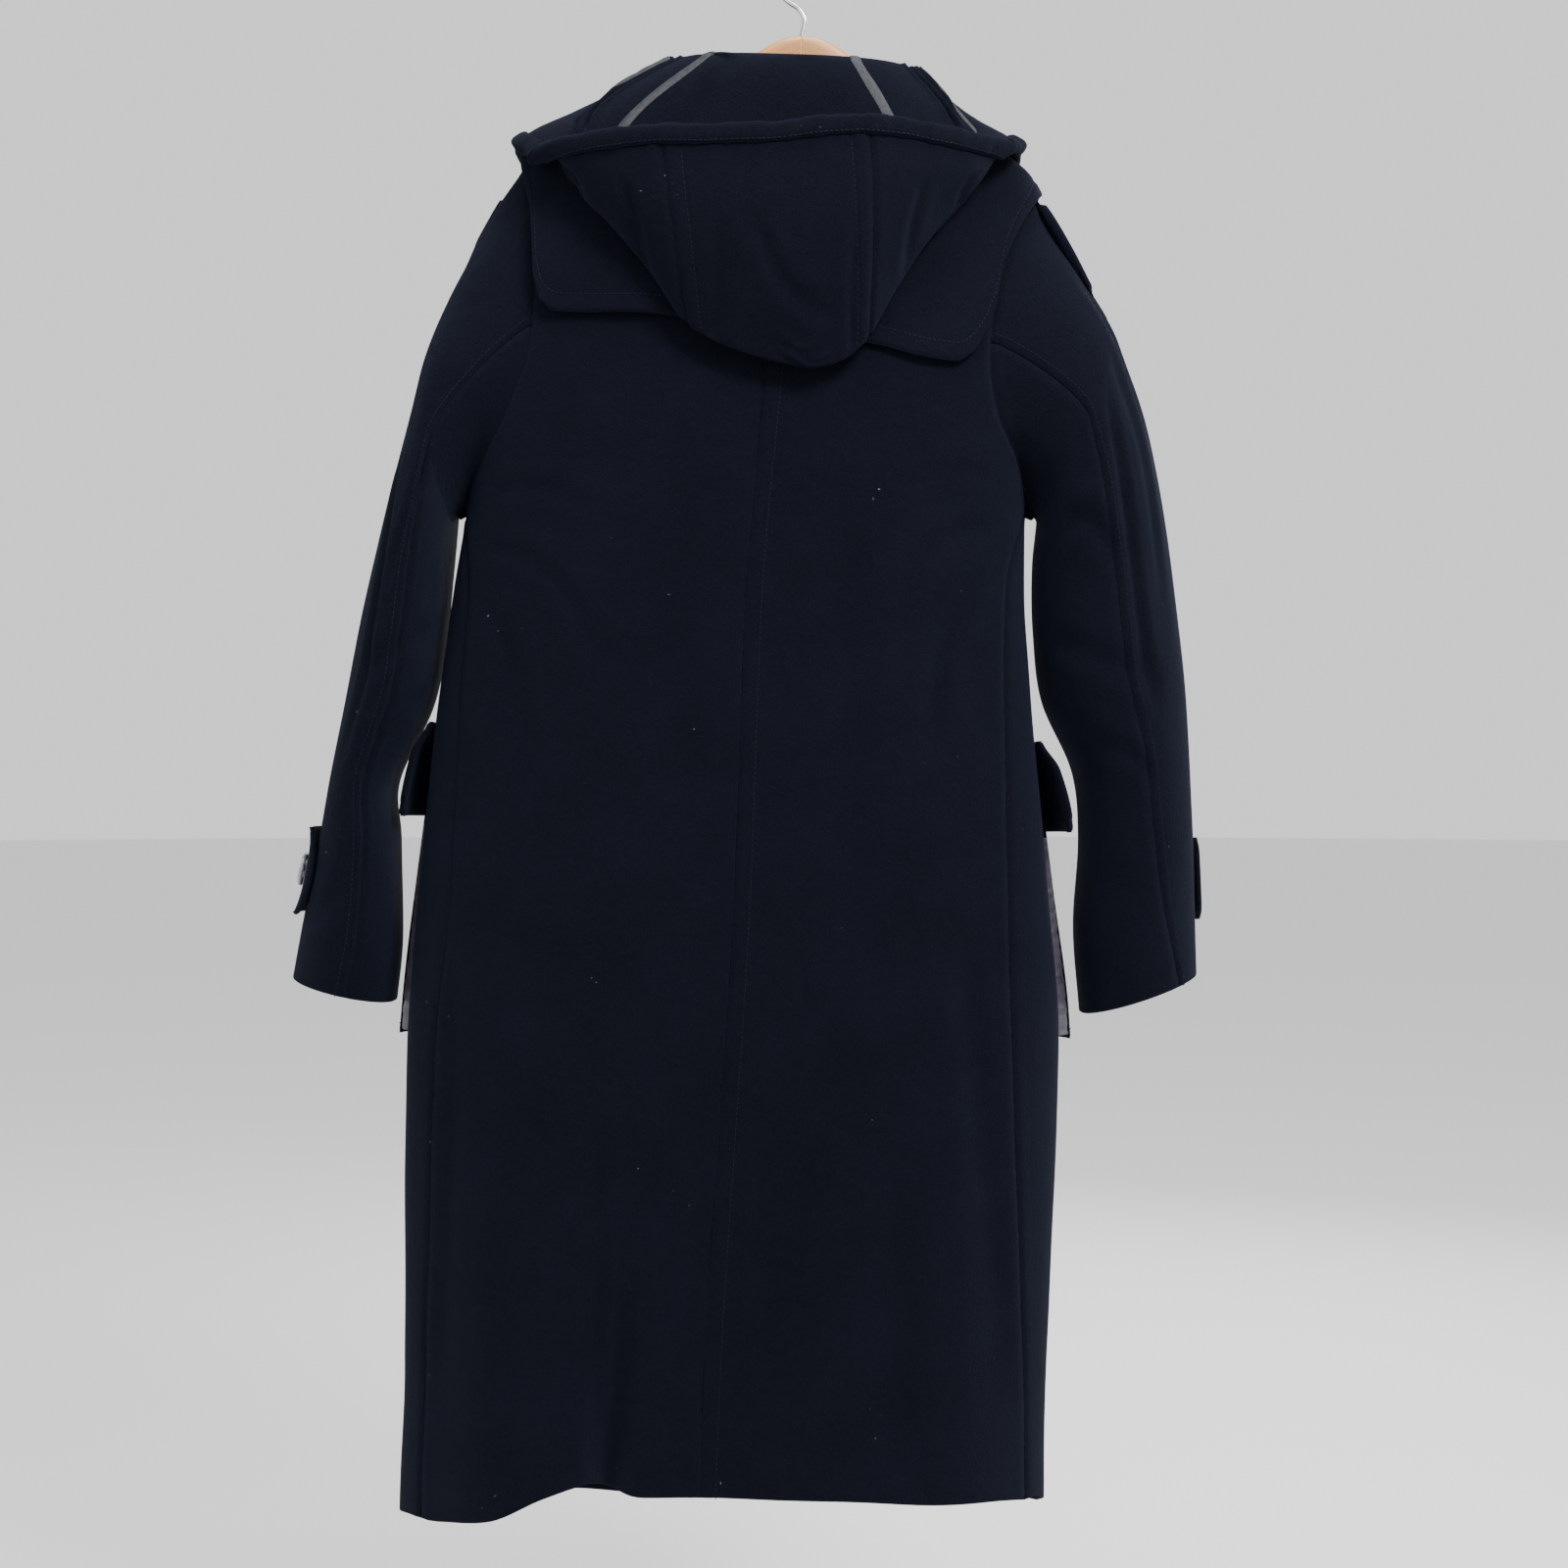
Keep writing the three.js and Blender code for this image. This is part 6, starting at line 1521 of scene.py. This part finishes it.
def hangerArm(side):
    tip, corners, over = hanger["span"][side], hanger["corners"], hanger["evenOver"]
    reaches = np.concatenate([[0.12, 0.6], np.linspace(2, tip - 10, 92),
                              tip - np.array([7, 5, 3, 1.6, 0.7, 0.1])])
    tops = np.array([armTop(side, r) for r in reaches])
    even = np.convolve(np.pad(tops, over // 2, mode="edge"), np.ones(over) / over, "valid")
    tops = np.where((reaches > 56) & (reaches < tip - 14), np.minimum(even, tops + 0.8), tops)
    turn = (np.arange(corners) + 0.5) / corners * 2 * math.pi
    c, s = [np.sign(way) * np.abs(way) ** hanger["squareness"] for way in (np.cos(turn), np.sin(turn))]
    rings = []
    for reach, top in zip(reaches, tops):
        share = reach / tip
        size = math.sqrt(max(1 - max(1 - (tip - reach) / hanger["tipRound"], 0) ** 2, 0.004))
        full = mix(hanger["heightMiddle"], hanger["heightTip"], share)
        rings.append(np.stack([
            np.full(corners, sides[side] * reach),
            hanger["bow"] * share**2 + c * hanger["thickness"] / 2 * size,
            top - full / 2 + s * full / 2 * size], -1))
    return faceOut(meshOf(f"hanger_arm_{side}_wood", np.concatenate(rings), cappedTube(len(rings), corners),
                          wood))


for side in sides:
    finished(hangerArm(side), "wood", f"hanger_arm_{side}")
hook = dict(radius=20.0, wire=3.8, neck=[(0, -61.7), (1.5, -55), (2, -49), (-2, -42), (-10, -36.5)],
            turns=[215, 190, 165, 140, 115, 90, 65, 40, 15, -10])
hookMiddle = hook["wire"] / 2 - hook["radius"]
hookPoints = [(x, 0, z) for x, z in hook["neck"]] + [
    (hook["radius"] * math.cos(math.radians(a)), 0, hookMiddle + hook["radius"] * math.sin(math.radians(a)))
    for a in hook["turns"]]
finished(throughTree("hanger_hook_wire", [splineThrough(hookPoints, 160)], "cord", Radius=hook["wire"] / 2000,
                     Sides=24,
                     Step=0.001, Material=steel), "steel", "hanger_hook")
print("hanger made")

# A plain pale floor and soft studio light; places in metres
studio = dict(floorZ=-1.42, floorSize=30, floorColour=(0.8, 0.8, 0.79), world=(0.86, 0.87, 0.88),
              worldStrength=1.25,
              aim=(-0.04, 0, -0.6))
bpy.ops.mesh.primitive_circle_add(vertices=96, radius=studio["floorSize"], fill_type="NGON",
                                  location=(0, 0, studio["floorZ"]))
floor = bpy.context.object
floor.name = "floor"
floor.data.materials.append(newMaterial("pale_floor", studio["floorColour"], 0.9)[0])
world = bpy.data.worlds.new("studio")
world.use_nodes = True
background = world.node_tree.nodes["Background"]
background.inputs["Color"].default_value = (*studio["world"], 1)
background.inputs["Strength"].default_value = studio["worldStrength"]
bpy.context.scene.world = world
lights = [
    dict(name="key", at=(1.0, -1.5, 1.0), size=0.7, power=95),
    dict(name="fill", at=(-1.7, -1.9, -0.3), size=1.8, power=22),
    dict(name="top", at=(0.1, -0.5, 1.5), size=0.9, power=34),
    dict(name="back", at=(0.8, 2.0, 0.2), size=1.6, power=30),
]
for light in lights:
    data = bpy.data.lights.new(light["name"], "AREA")
    data.size, data.energy = light["size"], light["power"]
    lamp = newObject(light["name"], data)
    lamp.location = light["at"]
    lamp.rotation_euler = (Vector(studio["aim"]) - Vector(light["at"])).to_track_quat("-Z", "Y").to_euler()
print("stage made")
